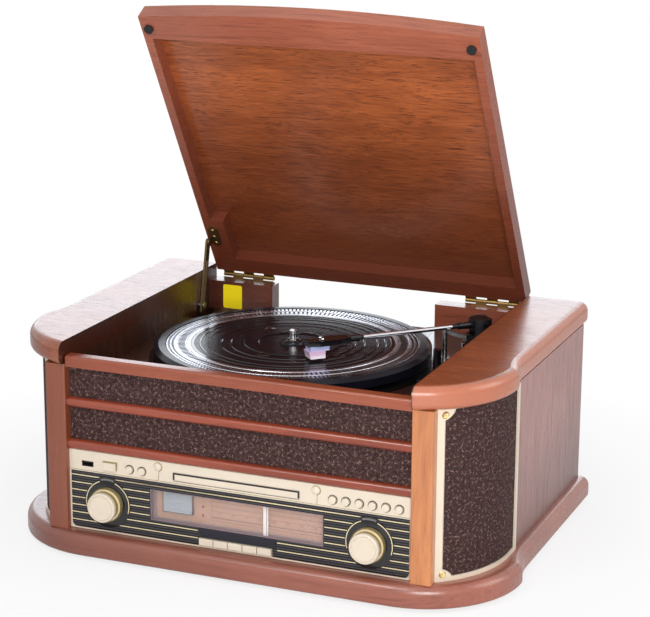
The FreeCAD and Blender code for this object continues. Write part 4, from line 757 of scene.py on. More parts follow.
def plate(outlines: Sequence[Outline], front: float, rear: float, edge: float = 0.0) -> Mesh:
    """Makes a flat plate that faces the front; an outline inside another is a hole.

    Args:
        outlines: Closed outlines, across and upwards, in millimetres.
        front: The depth of the front face.
        rear: The depth of the rear face.
        edge: The width of the broken edge.

    Returns:
        The plate's mesh.
    """
    curve = bpy.data.curves.new("plate", "CURVE")
    curve.dimensions = "2D"
    curve.fill_mode = "BOTH"
    curve.extrude = ((rear - front) / 2 - edge) * MM
    curve.bevel_depth = edge * MM
    curve.bevel_resolution = 1
    curve.offset = -edge * MM
    for outline in outlines:
        spline = curve.splines.new("POLY")
        spline.points.add(len(outline) - 1)
        for point, (x, z) in zip(spline.points, outline):
            point.co = (x * MM, z * MM, 0.0, 1.0)
        spline.use_cyclic_u = True
    mesh = mesh_of(bpy.data.objects.new("plate", curve))
    mesh.transform(facing_front(0.0, (front + rear) / 2, 0.0))
    return joined([mesh], "plate")


def words(text: str, size: float, x: float, depth: float, z: float) -> Mesh:
    """Makes raised characters that face the front.

    Args:
        text: The characters.
        size: Their height in millimetres.
        x: The middle of the text.
        depth: The depth of the surface that it stands on.
        z: The middle height.

    Returns:
        The text's mesh.
    """
    curve = bpy.data.curves.new("words", "FONT")
    curve.body = text
    curve.size = size * MM
    curve.extrude = INK / 2 * MM
    curve.resolution_u = 3
    curve.align_x = "CENTER"
    curve.align_y = "CENTER"
    mesh = mesh_of(bpy.data.objects.new("words", curve))
    mesh.transform(facing_front(x, depth - INK / 2, z))
    return mesh


def tube(points: Places, radius: float) -> Mesh:
    """Makes a round wire along points in metres, with a radius in millimetres."""
    curve = bpy.data.curves.new("wire", "CURVE")
    curve.dimensions = "3D"
    curve.bevel_depth = radius * MM
    curve.bevel_resolution = 4
    curve.use_fill_caps = True
    spline = curve.splines.new("NURBS")
    spline.points.add(len(points) - 1)
    for point, place in zip(spline.points, points):
        point.co = (*place, 1.0)
    spline.order_u = 3
    spline.use_endpoint_u = True
    return joined([mesh_of(bpy.data.objects.new("wire", curve))], "wire", smooth_angle=60.0)


# Geometry Nodes

class Repeater(Tree):
    """A Geometry Nodes tree that sets out copies of a small shape, with named inputs."""

    def __init__(self, name: str, **inputs: Kind) -> None:
        """Makes the tree and its sockets.

        Args:
            name: The tree's name.
            **inputs: The kind of each named input.
        """
        self.group = bpy.data.node_groups.new(name, "GeometryNodeTree")
        shape = {"Geometry": Kind.SHAPE}
        add_sockets(self.group, {**shape, **inputs, "Finish": Kind.FINISH}, shape)
        super().__init__(self.group)
        self.given = self.add("NodeGroupInput").outputs

    def index(self) -> Socket:
        """Gives the number of each copy."""
        return self.out("GeometryNodeInputIndex")

    def points(self, spot: Socket) -> Socket:
        """Gives as many points as the tree's Count, each at its own spot."""
        return self.out("GeometryNodePoints", {"Count": self.given["Count"], "Position": spot})

    def moved(self, shape: Socket, **values: Any) -> Socket:
        """Gives a shape that is moved, turned or scaled."""
        return self.out("GeometryNodeTransform", {"Geometry": shape, **values})

    def copies(self, points: Socket, shape: Socket, **turn: Socket) -> Socket:
        """Gives a copy of a shape on each point, turned where a Rotation is given."""
        return self.out("GeometryNodeInstanceOnPoints", {"Points": points, "Instance": shape, **turn})

    def close(self, shape: Socket) -> None:
        """Realizes the copies, gives them their finish and ends the tree."""
        real = self.out("GeometryNodeRealizeInstances", {"Geometry": shape})
        dressed = self.out("GeometryNodeSetMaterial", {"Geometry": real, "Material": self.given["Finish"]})
        self.add("NodeGroupOutput", {"Geometry": dressed})

    def grow(self, values: dict[str, Any], places: Places = (), facing: Places = ()) -> Mesh:
        """Runs the tree.

        Args:
            values: A value for each named input.
            places: Points that the copies sit on, where the tree takes them.
            facing: The way that each of those points faces.

        Returns:
            The plain mesh that the tree makes.
        """
        base = bpy.data.meshes.new("places")
        base.from_pydata([tuple(p) for p in places], [], [])
        if facing:
            attribute = base.attributes.new("facing", "FLOAT_VECTOR", "POINT")
            for item, way in zip(attribute.data, facing):
                item.vector = way
        thing = bpy.data.objects.new("repeat", base)
        modifier = thing.modifiers.new("repeat", "NODES")
        modifier.node_group = self.group
        labels = self.group.interface.items_tree
        keys = {item.name: item.identifier for item in labels if item.in_out == "INPUT"}
        for label, value in values.items():
            modifier[keys[label]] = value
        return mesh_of(thing)


def row_repeater() -> Repeater:
    """Makes the tree for bars in a row, from the first bar's middle, the step and a bar's size."""
    tree = Repeater("bars_in_a_row", Count=Kind.COUNT, First=Kind.VECTOR, Step=Kind.VECTOR, Bar=Kind.VECTOR)
    given = tree.given
    step = tree.out("ShaderNodeVectorMath", {0: given["Step"], "Scale": tree.index()}, operation="SCALE")
    points = tree.points(tree.vector("ADD", given["First"], step))
    tree.close(tree.copies(points, tree.out("GeometryNodeMeshCube", {"Size": given["Bar"]})))
    return tree


def ring_repeater() -> Repeater:
    """Makes the tree for tapered bars in a ring, from its radius, middle and turn, and a bar's size."""
    tree = Repeater("bars_in_a_ring", Count=Kind.COUNT, Radius=Kind.VALUE, Middle=Kind.VECTOR,
                    Turn=Kind.VECTOR, Bar=Kind.VECTOR)
    given = tree.given
    angle = tree.math("MULTIPLY", tree.math("DIVIDE", tree.index(), given["Count"]), math.tau)
    x, y = (tree.math("MULTIPLY", tree.math(way, angle), given["Radius"]) for way in ("COSINE", "SINE"))
    square = {"Vertices": 4, "Radius Top": 0.42, "Radius Bottom": 0.7071, "Depth": 1.0}
    bar = tree.moved(tree.out("GeometryNodeMeshCone", square), Rotation=(0, 0, math.pi / 4))
    bar = tree.moved(bar, Scale=given["Bar"])
    round_ring = tree.copies(tree.points(tree.combine(X=x, Y=y)), bar, Rotation=tree.combine(Z=angle))
    tree.close(tree.moved(round_ring, Translation=given["Middle"], Rotation=given["Turn"]))
    return tree


def screw_repeater() -> Repeater:
    """Makes the tree for domed screw heads with a cross slot, one on each point, facing its way."""
    tree = Repeater("screw_heads", Radius=Kind.VALUE, Rise=Kind.VALUE)
    radius, rise = tree.given["Radius"], tree.given["Rise"]
    rim, long_side, short_side = (tree.math("MULTIPLY", radius, share) for share in (0.72, 1.1, 0.22))
    dome = tree.out("GeometryNodeMeshCone", {"Vertices": 24, "Side Segments": 2, "Fill Segments": 1,
                                             "Radius Top": rim, "Radius Bottom": radius, "Depth": rise})
    head = tree.add("GeometryNodeMeshBoolean", {"Mesh 1": dome}, operation="DIFFERENCE")
    for x, y in ((long_side, short_side), (short_side, long_side)):
        bar = tree.out("GeometryNodeMeshCube", {"Size": tree.combine(X=x, Y=y, Z=rise)})
        tree.feed(head.inputs["Mesh 2"], tree.moved(bar, Translation=tree.combine(Z=rise)))
    points = tree.out("GeometryNodeMeshToPoints", {"Mesh": tree.given["Geometry"]})
    way = tree.out("GeometryNodeInputNamedAttribute", {"Name": "facing"}, data_type="FLOAT_VECTOR")
    turn = tree.out("FunctionNodeAlignRotationToVector", {"Vector": way}, axis="Z")
    tree.close(tree.copies(points, head.outputs[0], Rotation=turn))
    return tree


ROWS = row_repeater()
RINGS = ring_repeater()
SCREWS = screw_repeater()


def bars(count: int, first: Vector, size: Sizes, finish: Finish, step: Sizes = (0, 0, 0)) -> Mesh:
    """Makes bars in a row; size and step are in millimetres, across, in depth and upwards."""
    return ROWS.grow({"Count": count, "First": first, "Step": [v * MM for v in step],
                      "Bar": [v * MM for v in size], "Finish": finish.material()})


def ring(count: int, radius: float, middle: Vector, bar: Sizes, finish: Finish, turn: float = 0.0) -> Mesh:
    """Makes bars in a ring; radius and bar are in millimetres, and the turn is about X."""
    return RINGS.grow({"Count": count, "Radius": radius * MM, "Middle": middle, "Turn": (turn, 0.0, 0.0),
                       "Bar": [v * MM for v in bar], "Finish": finish.material()})


def screws(places: Places, facing: Places, radius: float, rise: float, finish: Finish) -> Mesh:
    """Makes screw heads of a radius and a rise in millimetres on points that each face their own way."""
    head = {"Radius": radius * MM, "Rise": rise * MM, "Finish": finish.material()}
    return SCREWS.grow(head, places, facing)


# Pieces

def add_piece(name: str, mesh: Mesh, finish: Finish, body: str = "cabinet",
              stands_for: Sequence[str] = ()) -> None:
    """Puts a finished mesh on a body.

    Args:
        name: The piece's name.
        mesh: Its mesh, in the frame's place.
        finish: Its finish.
        body: The body that it moves with.
        stands_for: The solids that it replaces.
    """
    mesh.name = name
    mesh.materials.clear()
    mesh.materials.append(finish.material())
    thing = bpy.data.objects.new(name, mesh)
    bpy.context.scene.collection.objects.link(thing)
    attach(thing, body)
    if stands_for:
        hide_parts(*stands_for)
    LOG.info("%s rides on %s", name, body)


def dress_nodes() -> None:
    """Gives every solid of the frame its finish."""
    for name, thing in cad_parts.items():
        material = NODE_FINISHES[name].material()
        thing.data.materials.clear()
        thing.data.materials.append(material)
        LOG.info("%s is dressed in %s", name, material.name)


@dataclass
class Fascia:
    """The printed and moulded details of the front plate, with painted shadows round its push buttons,
    beside its pins and power button and along its drawer's slot; a rise is a front and a rear before its
    face.
    """

    face: float = 6.0
    panel_x: float = 176.7
    panel_z: Span = (28.2, 86.2)
    panel_rise: Span = (0.4, 0.0)
    corner: float = 5.0
    key_half: float = 38.4
    key_high: float = 36.8
    plaque_x: Span = (-38.4, 41.8)
    plaque_high: float = 46.0
    plaque_rise: Span = (1.0, 0.3)
    plaque_edge: float = 0.15
    window_x: float = 90.5
    window_z: Span = (46.6, 78.0)
    liner: Span = (0.05, 0.65)
    liner_rise: Span = (0.4, -2.4)
    groove_gap: float = 1.3
    groove_length: float = 357.0
    line: Point2 = (0.16, 0.5)
    stripe_pitch: float = 7.75
    stripe_low: float = 35.5
    stripe_count: int = 7
    stripe: Point2 = (0.3, 0.95)
    stripe_rise: float = 0.5
    window_gap: float = 1.2
    plaque_gap: float = 1.6
    shaft: float = 4.5
    disc: float = 24.6
    disc_rise: Span = (1.1, 0.3)
    disc_edge: float = 0.2
    tab: tuple[Span, Span] = ((24.0, 27.2), (68, 112))
    tab_rise: Span = (1.05, 0.3)
    arcs: tuple[tuple[Span, Span], ...] = (((22.8, 23.7), (-18, 69)), ((22.8, 23.7), (111, 198)))
    arc_rise: Span = (1.25, 1.05)
    label: tuple[Span, Span] = ((23.8, 25.6), (74, 106))
    label_rise: Span = (1.2, 1.0)
    drawer_x: float = 66.0
    drawer_z: Span = (90.9, 98.2)
    drawer_face: float = 5.7
    drawer_trim: Point2 = (1.8, 1.7)
    drawer_gap: float = 1.2
    edge_rise: Span = (0.12, -0.1)
    button_z: float = 94.4
    button_radius: float = 3.95
    buttons: tuple[float, ...] = (-113.0, -99.7, 99.6, 112.9, 126.2, 139.5, 152.8, 166.1)
    # Painted shadows round the push buttons: dark rings shifted up and to the right.
    ring_shadow_shift: Point2 = (0.25, 0.3)
    ring_gap: float = 0.25
    ring_shadow_reach: float = 0.85
    ring_rise: Span = (0.1, -0.2)
    power_x: Span = (-142.0, -126.1)
    power_z: Span = (91.6, 99.9)
    power_edge: float = 1.2
    pin_x: float = 82.6
    pin_z: float = 101.6
    pin_head: Profile = ((0.0, 1.6), (2.2, 1.45), (3.6, 0.9), (4.2, 0.0), (4.2, -0.1), (0.0, -0.1))
    stem: float = 1.1
    stem_z: Span = (88.6, 98.6)
    stem_rise: Span = (0.7, -0.1)
    stem_edge: float = 0.3
    shade_x: Span = (1.15, 1.6)
    shade_z: Span = (88.6, 96.8)
    shade_rise: Span = (0.1, -0.1)
    shade_shift: Point2 = (0.5, 0.1)
    shade_radii: Span = (4.25, 4.8)

    def depths(self, rise: Span) -> Span:
        """Turns a rise into a front and a rear depth."""
        return self.face - rise[0], self.face - rise[1]

    def raised(self, outlines: Sequence[Outline], rise: Span, edge: float = 0.0) -> Mesh:
        """Makes a plate on the face."""
        return plate(outlines, *self.depths(rise), edge)

    def level_line(self, z: float, length: float, finish: Finish) -> Mesh:
        """Makes a thin level line on the face."""
        return bars(1, at(0, self.face, z), (length, *self.line), finish)

    def panel_outline(self) -> list[Point2]:
        """Gives the black panel's outline, notched for the keys."""
        (low, high), side, bend = self.panel_z, self.panel_x, self.corner
        left = arc((bend - side, low + bend), bend, 180.0, 270.0, steps=10)
        right = arc((side - bend, low + bend), bend, 270.0, 360.0, steps=10)
        keys, top = self.key_half, self.key_high
        notch = [(-keys, low), (-keys, top), (keys, top), (keys, low)]
        return left + notch + right + [(side, high), (-side, high)]

    def build_panel(self) -> None:
        """Makes the black panel, the window's liner, the key plaque and the band's groove."""
        (low, high), side = self.window_z, self.window_x
        holes = [rectangle((-side, side), self.window_z)]
        holes += [circle((x, KNOB_Z), self.shaft, sides=24) for x in (-KNOB_X, KNOB_X)]
        panel = self.raised([self.panel_outline(), *holes], self.panel_rise)
        add_piece("fascia_black_panel", panel, PANEL)
        edges = [rectangle((trim - side, side - trim), (low + trim, high - trim)) for trim in self.liner]
        add_piece("window_liner", self.raised(edges, self.liner_rise), DIAL_PAN)
        outline = rectangle(self.plaque_x, (self.key_high, self.plaque_high))
        plaque = self.raised([outline], self.plaque_rise, self.plaque_edge)
        add_piece("key_plaque", plaque, PLAQUE)
        groove = self.level_line(self.panel_z[1] + self.groove_gap, self.groove_length, GOLD)
        add_piece("fascia_groove", groove, GOLD)

    def build_stripes(self) -> None:
        """Makes the gold stripes beside, above and below the window."""
        edge, inner, count = self.panel_x, self.window_x + self.window_gap, self.stripe_count
        left, right = self.plaque_x[0] - self.plaque_gap, self.plaque_x[1] + self.plaque_gap
        groups = ((-edge, -inner, 0, count), (inner, edge, 0, count), (-inner, inner, count - 1, 1),
                  (-inner, left, 0, 2), (right, inner, 0, 2))
        meshes = []
        for low, high, start, number in groups:
            level = self.stripe_low + start * self.stripe_pitch
            first = at((low + high) / 2, self.face - self.stripe_rise, level)
            size, step = (high - low, *self.stripe), (0, 0, self.stripe_pitch)
            meshes.append(bars(number, first, size, BRIGHT_GOLD, step))
        add_piece("fascia_gold_stripes", joined(meshes, "stripes"), BRIGHT_GOLD)

    def build_knob_plates(self) -> None:
        """Makes the black disc with its tab, the gold arcs and the blank label behind each knob."""
        for side, x in (("volume", -KNOB_X), ("tuning", KNOB_X)):
            centre = (x, KNOB_Z)
            outlines = [circle(centre, self.disc, sides=72), circle(centre, self.shaft, sides=24)]
            disc = self.raised(outlines, self.disc_rise, self.disc_edge)
            tab = self.raised([ring_arc(centre, *self.tab)], self.tab_rise)
            add_piece(f"{side}_disc", joined([disc, tab], "disc"), BLACK_GLOSS)
            arcs = self.raised([ring_arc(centre, *strip) for strip in self.arcs], self.arc_rise)
            add_piece(f"{side}_arcs", arcs, BRIGHT_GOLD)
            label = self.raised([ring_arc(centre, *self.label)], self.label_rise)
            add_piece(f"{side}_blank_label", label, LABEL)

    def build_drawer(self) -> None:
        """Makes the painted shadow of the drawer's slot, a dark strip along the top and ends of the drawer's
        front, which rides on it, and the line below.
        """
        (low, high), side = self.drawer_z, self.drawer_x
        inner, top = side - self.drawer_trim[0], high - self.drawer_trim[1]
        # Painted shadow of the drawer's slot: a dark strip along the top and ends of the drawer's front.
        slot_shadow = [(-side, low), (-inner, low), (-inner, top), (inner, top), (inner, low), (side, low),
                 (side, high), (-side, high)]
        mesh = plate([slot_shadow], *(self.drawer_face - rise for rise in self.edge_rise))
        add_piece("drawer_slot_shadow", mesh, SATIN_BLACK, "drawer")
        line = self.level_line(low - self.drawer_gap, 2 * side, DARK_STEEL_AND_SHADOW)
        add_piece("drawer_line", line, DARK_STEEL_AND_SHADOW)

    def build_rings(self) -> None:
        """Makes the painted shadows round the push buttons, dark rings shifted up and to the right."""
        (aside, above), radius, rings = self.ring_shadow_shift, self.button_radius, []
        for x in self.buttons:
            rings.append(circle((x + aside, self.button_z + above), radius + self.ring_shadow_reach))
            rings.append(circle((x, self.button_z), radius + self.ring_gap))
        add_piece("button_rings", self.raised(rings, self.ring_rise), DARK_STEEL_AND_SHADOW)

    def build_reliefs(self) -> None:
        """Makes the two pins in relief, and the painted shadows to the right of them and along the power
        button's top and right edges.
        """
        (left, right), (low, high), trim = self.power_x, self.power_z, self.power_edge
        power = [(left, high - trim), (right - trim, high - trim), (right - trim, low), (right, low),
                 (right, high), (left, high)]
        shades, pins = [self.raised([power], self.edge_rise)], []
        (inner, outer), (aside, above) = self.shade_radii, self.shade_shift
        start, end = self.shade_x
        for x in (-self.pin_x, self.pin_x):
            pins.append(turned(self.pin_head, facing_front(x, self.face, self.pin_z), sides=40))
            width = (x - self.stem, x + self.stem)
            pins.append(brick(width, self.depths(self.stem_rise), self.stem_z, self.stem_edge))
            crescent = [circle((x + aside, self.pin_z + above), outer), circle((x, self.pin_z), inner)]
            shades.append(self.raised(crescent, self.shade_rise))
            shades.append(brick((x + start, x + end), self.depths(self.shade_rise), self.shade_z))
        add_piece("relief_pins", joined(pins, "pins"), CHAMPAGNE)
        add_piece("relief_shadows", joined(shades, "edges"), GOLD)

    def build(self) -> None:
        """Makes every detail of the plate."""
        self.build_panel()
        self.build_stripes()
        self.build_knob_plates()
        self.build_drawer()
        self.build_rings()
        self.build_reliefs()


@dataclass
class Dial:
    """The radio dial behind its window; a line is a count, a height and a width."""

    floor: float = 15.8
    sheet: float = 0.3
    x: Span = (-88.3, 90.4)
    z: Span = (46.8, 77.8)
    display_x: Span = (-79.45, -48.75)
    display_z: Span = (55.5, 76.0)
    display_front: float = 11.3
    frame_rise: float = 0.15
    frame_reach: tuple[Span, Span] = ((0.7, 0.3), (0.6, 0.3))
    frame_lap: float = 0.1
    scale_x: Span = (-29.6, 86.0)
    ink_rise: float = 0.35
    lines: tuple[tuple[int, float, float], ...] = ((3, 61.2, 0.35), (1, 54.6, 0.8), (1, 51.6, 0.35))
    line_pitch: float = 4.9
    upright_z: float = 63.0
    upright: Point2 = (0.4, 24.0)
    tick: Point2 = (0.25, 1.6)
    tick_count: int = 45
    tick_inset: float = 2.0
    tick_rows: Point2 = (67.0, 56.0)
    numbers: tuple[tuple[float, str], ...] = ((73.6, "88 92 96 100 104 108"),
                                              (59.0, "53 60 70 80 100 120 140 160"))
    number_inset: float = 8.0
    number_size: float = 3.2
    lamp_x: float = -39.0
    lamp_z: Point2 = (64.3, 55.2)
    sensor_z: float = 74.0
    lamp_head: Profile = ((0.0, 0.9), (0.8, 0.7), (1.3, 0.0), (0.0, 0.0))
    pointer_x: Span = (30.1, 30.7)
    pointer_depth: Span = (10.2, 10.4)
    pointer_z: Span = (47.0, 77.6)

    def number_row(self, z: float, text: str) -> list[Mesh]:
        """Makes a row of plain numbers along the scale."""
        start, end = self.scale_x[0] + self.number_inset, self.scale_x[1] - self.number_inset
        texts = text.split()
        pitch, depth = (end - start) / (len(texts) - 1), self.floor - self.sheet
        return [words(item, self.number_size, start + pitch * i, depth, z) for i, item in enumerate(texts)]

    def build_face(self) -> None:
        """Makes the printed face with its lines, marks and numbers."""
        outlines = [rectangle(self.x, self.z), rectangle(self.display_x, self.display_z)]
        add_piece("dial_face", plate(outlines, self.floor - self.sheet, self.floor), DIAL_FACE)
        start, end = self.scale_x
        middle, length, front = (start + end) / 2, end - start, self.floor - self.ink_rise
        marks = []
        for count, z, width in self.lines:
            step = (0, 0, self.line_pitch)
            marks.append(bars(count, at(middle, front, z), (length, INK, width), DIAL_INK, step))
        (width, height), (thin, short) = self.upright, self.tick
        marks.append(bars(1, at(start, front, self.upright_z), (width, INK, height), DIAL_INK))
        step = ((length - 2 * self.tick_inset) / (self.tick_count - 1), 0, 0)
        for z in self.tick_rows:
            first = at(start + self.tick_inset, front, z)
            marks.append(bars(self.tick_count, first, (thin, INK, short), DIAL_INK, step))
        for z, text in self.numbers:
            marks += self.number_row(z, text)
        add_piece("dial_marks", joined(marks, "marks"), DIAL_INK)

    def lamp(self, z: float) -> Mesh:
        """Makes a small round lamp on the face."""
        return turned(self.lamp_head, facing_front(self.lamp_x, self.floor - self.sheet, z), sides=24)

    def build_lamps(self) -> None:
        """Makes the sensor and the two red lamps."""
        add_piece("dial_sensor", self.lamp(self.sensor_z), BLACK_GLOSS)
        lamps = joined([self.lamp(z) for z in self.lamp_z], "lamps")
        add_piece("dial_lamps", lamps, DIAL_LAMP)

    def build_display(self) -> None:
        """Makes the display's dark edge and the line on the pointer."""
        (left, right), (low, high), lap = self.display_x, self.display_z, self.frame_lap
        (out_left, out_right), (out_low, out_high) = self.frame_reach
        outlines = [rectangle((left - out_left, right + out_right), (low - out_low, high + out_high)),
                    rectangle((left + lap, right - lap), (low + lap, high - lap))]
        edge = plate(outlines, self.display_front - self.frame_rise, self.floor - self.sheet)
        add_piece("display_frame", edge, SATIN_BLACK)
        line = brick(self.pointer_x, self.pointer_depth, self.pointer_z)
        add_piece("pointer_line", line, DIAL_PAN, "pointer")

    def build(self) -> None:
        """Makes every detail of the dial."""
        self.build_face()
        self.build_lamps()
        self.build_display()


@dataclass
class Knob:
    """A turned knob, by profiles whose heights count from the posts' face."""

    side: str
    x: float
    cap: Profile = ((0.0, 9.6), (11.6, 9.7), (12.0, 9.0), (12.7, 9.0), (13.1, 9.9), (13.7, 10.0),
                    (14.4, 9.75), (14.85, 9.2), (15.0, 8.4), (15.0, 5.8), (0.0, 5.8))
    barrel: Profile = ((0.0, 5.9), (14.6, 5.9), (14.6, -1.2), (16.5, -1.2), (16.9, -1.6), (16.9, -5.2),
                       (0.0, -5.2))
    collar: Profile = ((14.4, 0.6), (15.9, 0.5), (16.2, 0.2), (16.2, -0.7), (16.0, -1.0), (14.4, -1.0),
                       (14.4, 0.6))
    knurls: int = 64
    knurl: Triple = (1.0, 0.9, 4.0)
    knurl_radius: float = 16.85
    knurl_depth: float = 3.2

    def build(self) -> None:
        """Makes the grooved cap, the barrel with its knurls and the bright collar."""
        axis, name = facing_front(self.x, 0.0, KNOB_Z), f"{self.side}_knob"
        add_piece(f"{name}_cap", turned(self.cap, axis), CHAMPAGNE, self.side, [name])
        middle = at(self.x, self.knurl_depth, KNOB_Z)
        ribs = ring(self.knurls, self.knurl_radius, middle, self.knurl, GOLD, math.pi / 2)
        ribbed = joined([turned(self.barrel, axis), ribs], "barrel")
        add_piece(f"{name}_barrel", ribbed, GOLD, self.side)
        add_piece(f"{name}_collar", turned(self.collar, axis), BRIGHT_GOLD, self.side)


@dataclass
class Platter:
    """The platter's moulded face; a dash ring is a count, a radius, a length and a width."""

    body: str = "turning_platter"
    x: float = -15.0
    depth: float = 178.0
    mat: float = 189.2
    hub: float = 190.8
    bed: Profile = ((107.6, 0.0), (107.8, 0.25), (117.6, 0.25), (117.9, 0.6), (119.1, 0.6), (119.4, 0.25),
                    (127.8, 0.25), (128.0, 0.0))
    bright: Profile = ((103.4, 0.0), (103.7, 0.4), (106.9, 0.4), (107.2, 0.0))
    dash_rise: float = 0.38
    dashes: tuple[tuple[int, float, float, float], ...] = (
        (150, 112.7, 9.0, 2.2), (190, 121.7, 2.8, 2.0), (190, 125.5, 2.8, 2.0))
    step: Profile = ((99.6, 0.0), (99.9, 0.4), (103.0, 0.4), (103.3, 0.0))
    ridge: Profile = ((-0.9, 0.0), (-0.5, 0.45), (0.5, 0.45), (0.9, 0.0))
    ridges: tuple[float, ...] = (94.0, 86.0, 72.5, 63.0)
    pad: Profile = ((0.0, 0.6), (5.2, 0.6), (6.0, 0.4), (6.2, 0.0))
    pad_radius: float = 53.0
    pad_angles: Triple = (20.0, 140.0, 260.0)
    collar: Profile = ((3.7, 0.0), (7.4, 0.0), (7.4, 0.9), (6.6, 1.5), (3.9, 1.9), (3.7, 1.9), (3.7, 0.0))

    def axis(self, z: float, across: float = 0.0, ahead: float = 0.0) -> Matrix:
        """Gives an upright axis, which is the platter's own unless it is moved."""
        return Matrix.Translation(at(self.x + across, self.depth + ahead, z))

    def build_rings(self) -> None:
        """Makes the bright rings and the dashes on them."""
        shiny = [turned(profile, self.axis(self.mat), sides=192) for profile in (self.bed, self.bright)]
        add_piece("platter_strobe_bed", joined(shiny, "bed"), STROBE, self.body)
        middle, marks = at(self.x, self.depth, self.mat + self.dash_rise / 2), []
        for count, radius, length, width in self.dashes:
            marks.append(ring(count, radius, middle, (length, width, self.dash_rise), MAT_BLACK))
        add_piece("platter_dashes", joined(marks, "dashes"), MAT_BLACK, self.body)

    def build(self) -> None:
        """Makes the rings, the ridges, the pads and the spindle's collar."""
        self.build_rings()
        ridges = [turned(self.step, self.axis(self.mat), sides=192)]
        for radius in self.ridges:
            profile = [(radius + out, z) for out, z in self.ridge]
            ridges.append(turned(profile, self.axis(self.mat), sides=160))
        for angle in map(math.radians, self.pad_angles):
            across, ahead = self.pad_radius * math.cos(angle), self.pad_radius * math.sin(angle)
            ridges.append(turned(self.pad, self.axis(self.mat, across, ahead), sides=32))
        add_piece("platter_ridges", joined(ridges, "ridges"), BLACK_GLOSS, self.body)
        collar = turned(self.collar, self.axis(self.hub), sides=48)
        add_piece("platter_collar", collar, BLACK_GLOSS, self.body)


@dataclass
class ToneArm:
    """The small details along the tone arm; places are along it, beside it and upwards."""

    lift: tuple[Triple, ...] = ((168.0, -5.0, 209.0), (172.0, -9.0, 210.0), (178.0, -15.0, 212.5),
                                (187.0, -18.0, 213.6), (196.0, -19.0, 212.0))
    lift_radius: float = 0.9
    heads: tuple[Triple, ...] = ((176.0, -3.2, 211.0), (176.0, 3.2, 211.0))
    head: Point2 = (1.5, 0.8)

    def on_arm(self, along: float, aside: float, z: float) -> Vector:
        """Gives a point by its distance along the arm and to the side of it."""
        cosine, sine = math.cos(ARM_HEADING), math.sin(ARM_HEADING)
        x, depth = ARM_PIVOT
        return at(x + along * cosine - aside * sine, depth + along * sine + aside * cosine, z)

    def build(self) -> None:
        """Makes the finger lift and the head's screws."""
        wire = tube([self.on_arm(*place) for place in self.lift], self.lift_radius)
        add_piece("finger_lift", wire, BLACK_GLOSS, "arm")
        places = [self.on_arm(*place) for place in self.heads]
        heads = screws(places, [UPWARDS] * len(places), *self.head, CHROME)
        add_piece("head_screws", heads, CHROME, "arm")


@dataclass(frozen=True)
class RaisedLid:
    """The hinge's axis and the lid's angle; points are measured from that axis on the closed lid."""

    axis: Point2 = (348.5, 206.0)
    angle: float = math.radians(59.0)

    def point(self, x: float, y: float, z: float) -> Vector:
        """Gives a point of the raised lid."""
        cosine, sine = math.cos(self.angle), math.sin(self.angle)
        return at(x, self.axis[0] + y * cosine + z * sine, self.axis[1] - y * sine + z * cosine)

    def way(self, y: float, z: float) -> Vector:
        """Gives a direction of the raised lid."""
        return self.point(0.0, y, z) - self.point(0.0, 0.0, 0.0)


LID = RaisedLid()


@dataclass
class LidEdge:
    """The smooth round along the lid's bowed front, over the solid's own."""

    half: float = 179.0
    front: float = -355.0
    bow: float = 9.5
    inset: float = 5.0
    outer: float = 4.98
    inner: float = 3.5
    middle_z: float = 16.5
    stations: int = 72

    def build(self) -> None:
        """Makes the round as a strip that follows the bow."""
        radius = (self.half ** 2 + self.bow ** 2) / (2 * self.bow)
        centre = self.front - self.bow + radius
        reach = math.asin((self.half - self.inset) / radius)
        middle = (radius - self.inset, self.middle_z)
        profile = arc(middle, self.outer, 0.0, 90.0, steps=10) + arc(middle, self.inner, 90.0, 0.0, steps=4)
        bm = bmesh.new()
        rows = []
        for i in range(self.stations + 1):
            turn = reach * (2 * i / self.stations - 1)
            spots = [(out * math.sin(turn), centre - out * math.cos(turn), z) for out, z in profile]
            rows.append([bm.verts.new(LID.point(*spot)) for spot in spots])
        for row, after in zip(rows, rows[1:]):
            for i, vert in enumerate(row):
                bm.faces.new((row[i - 1], vert, after[i], after[i - 1]))
        bm.faces.new(rows[0])
        bm.faces.new(rows[-1])
        add_piece("lid_front_edge", finished(bm, "edge"), WOOD_LID, "lid")


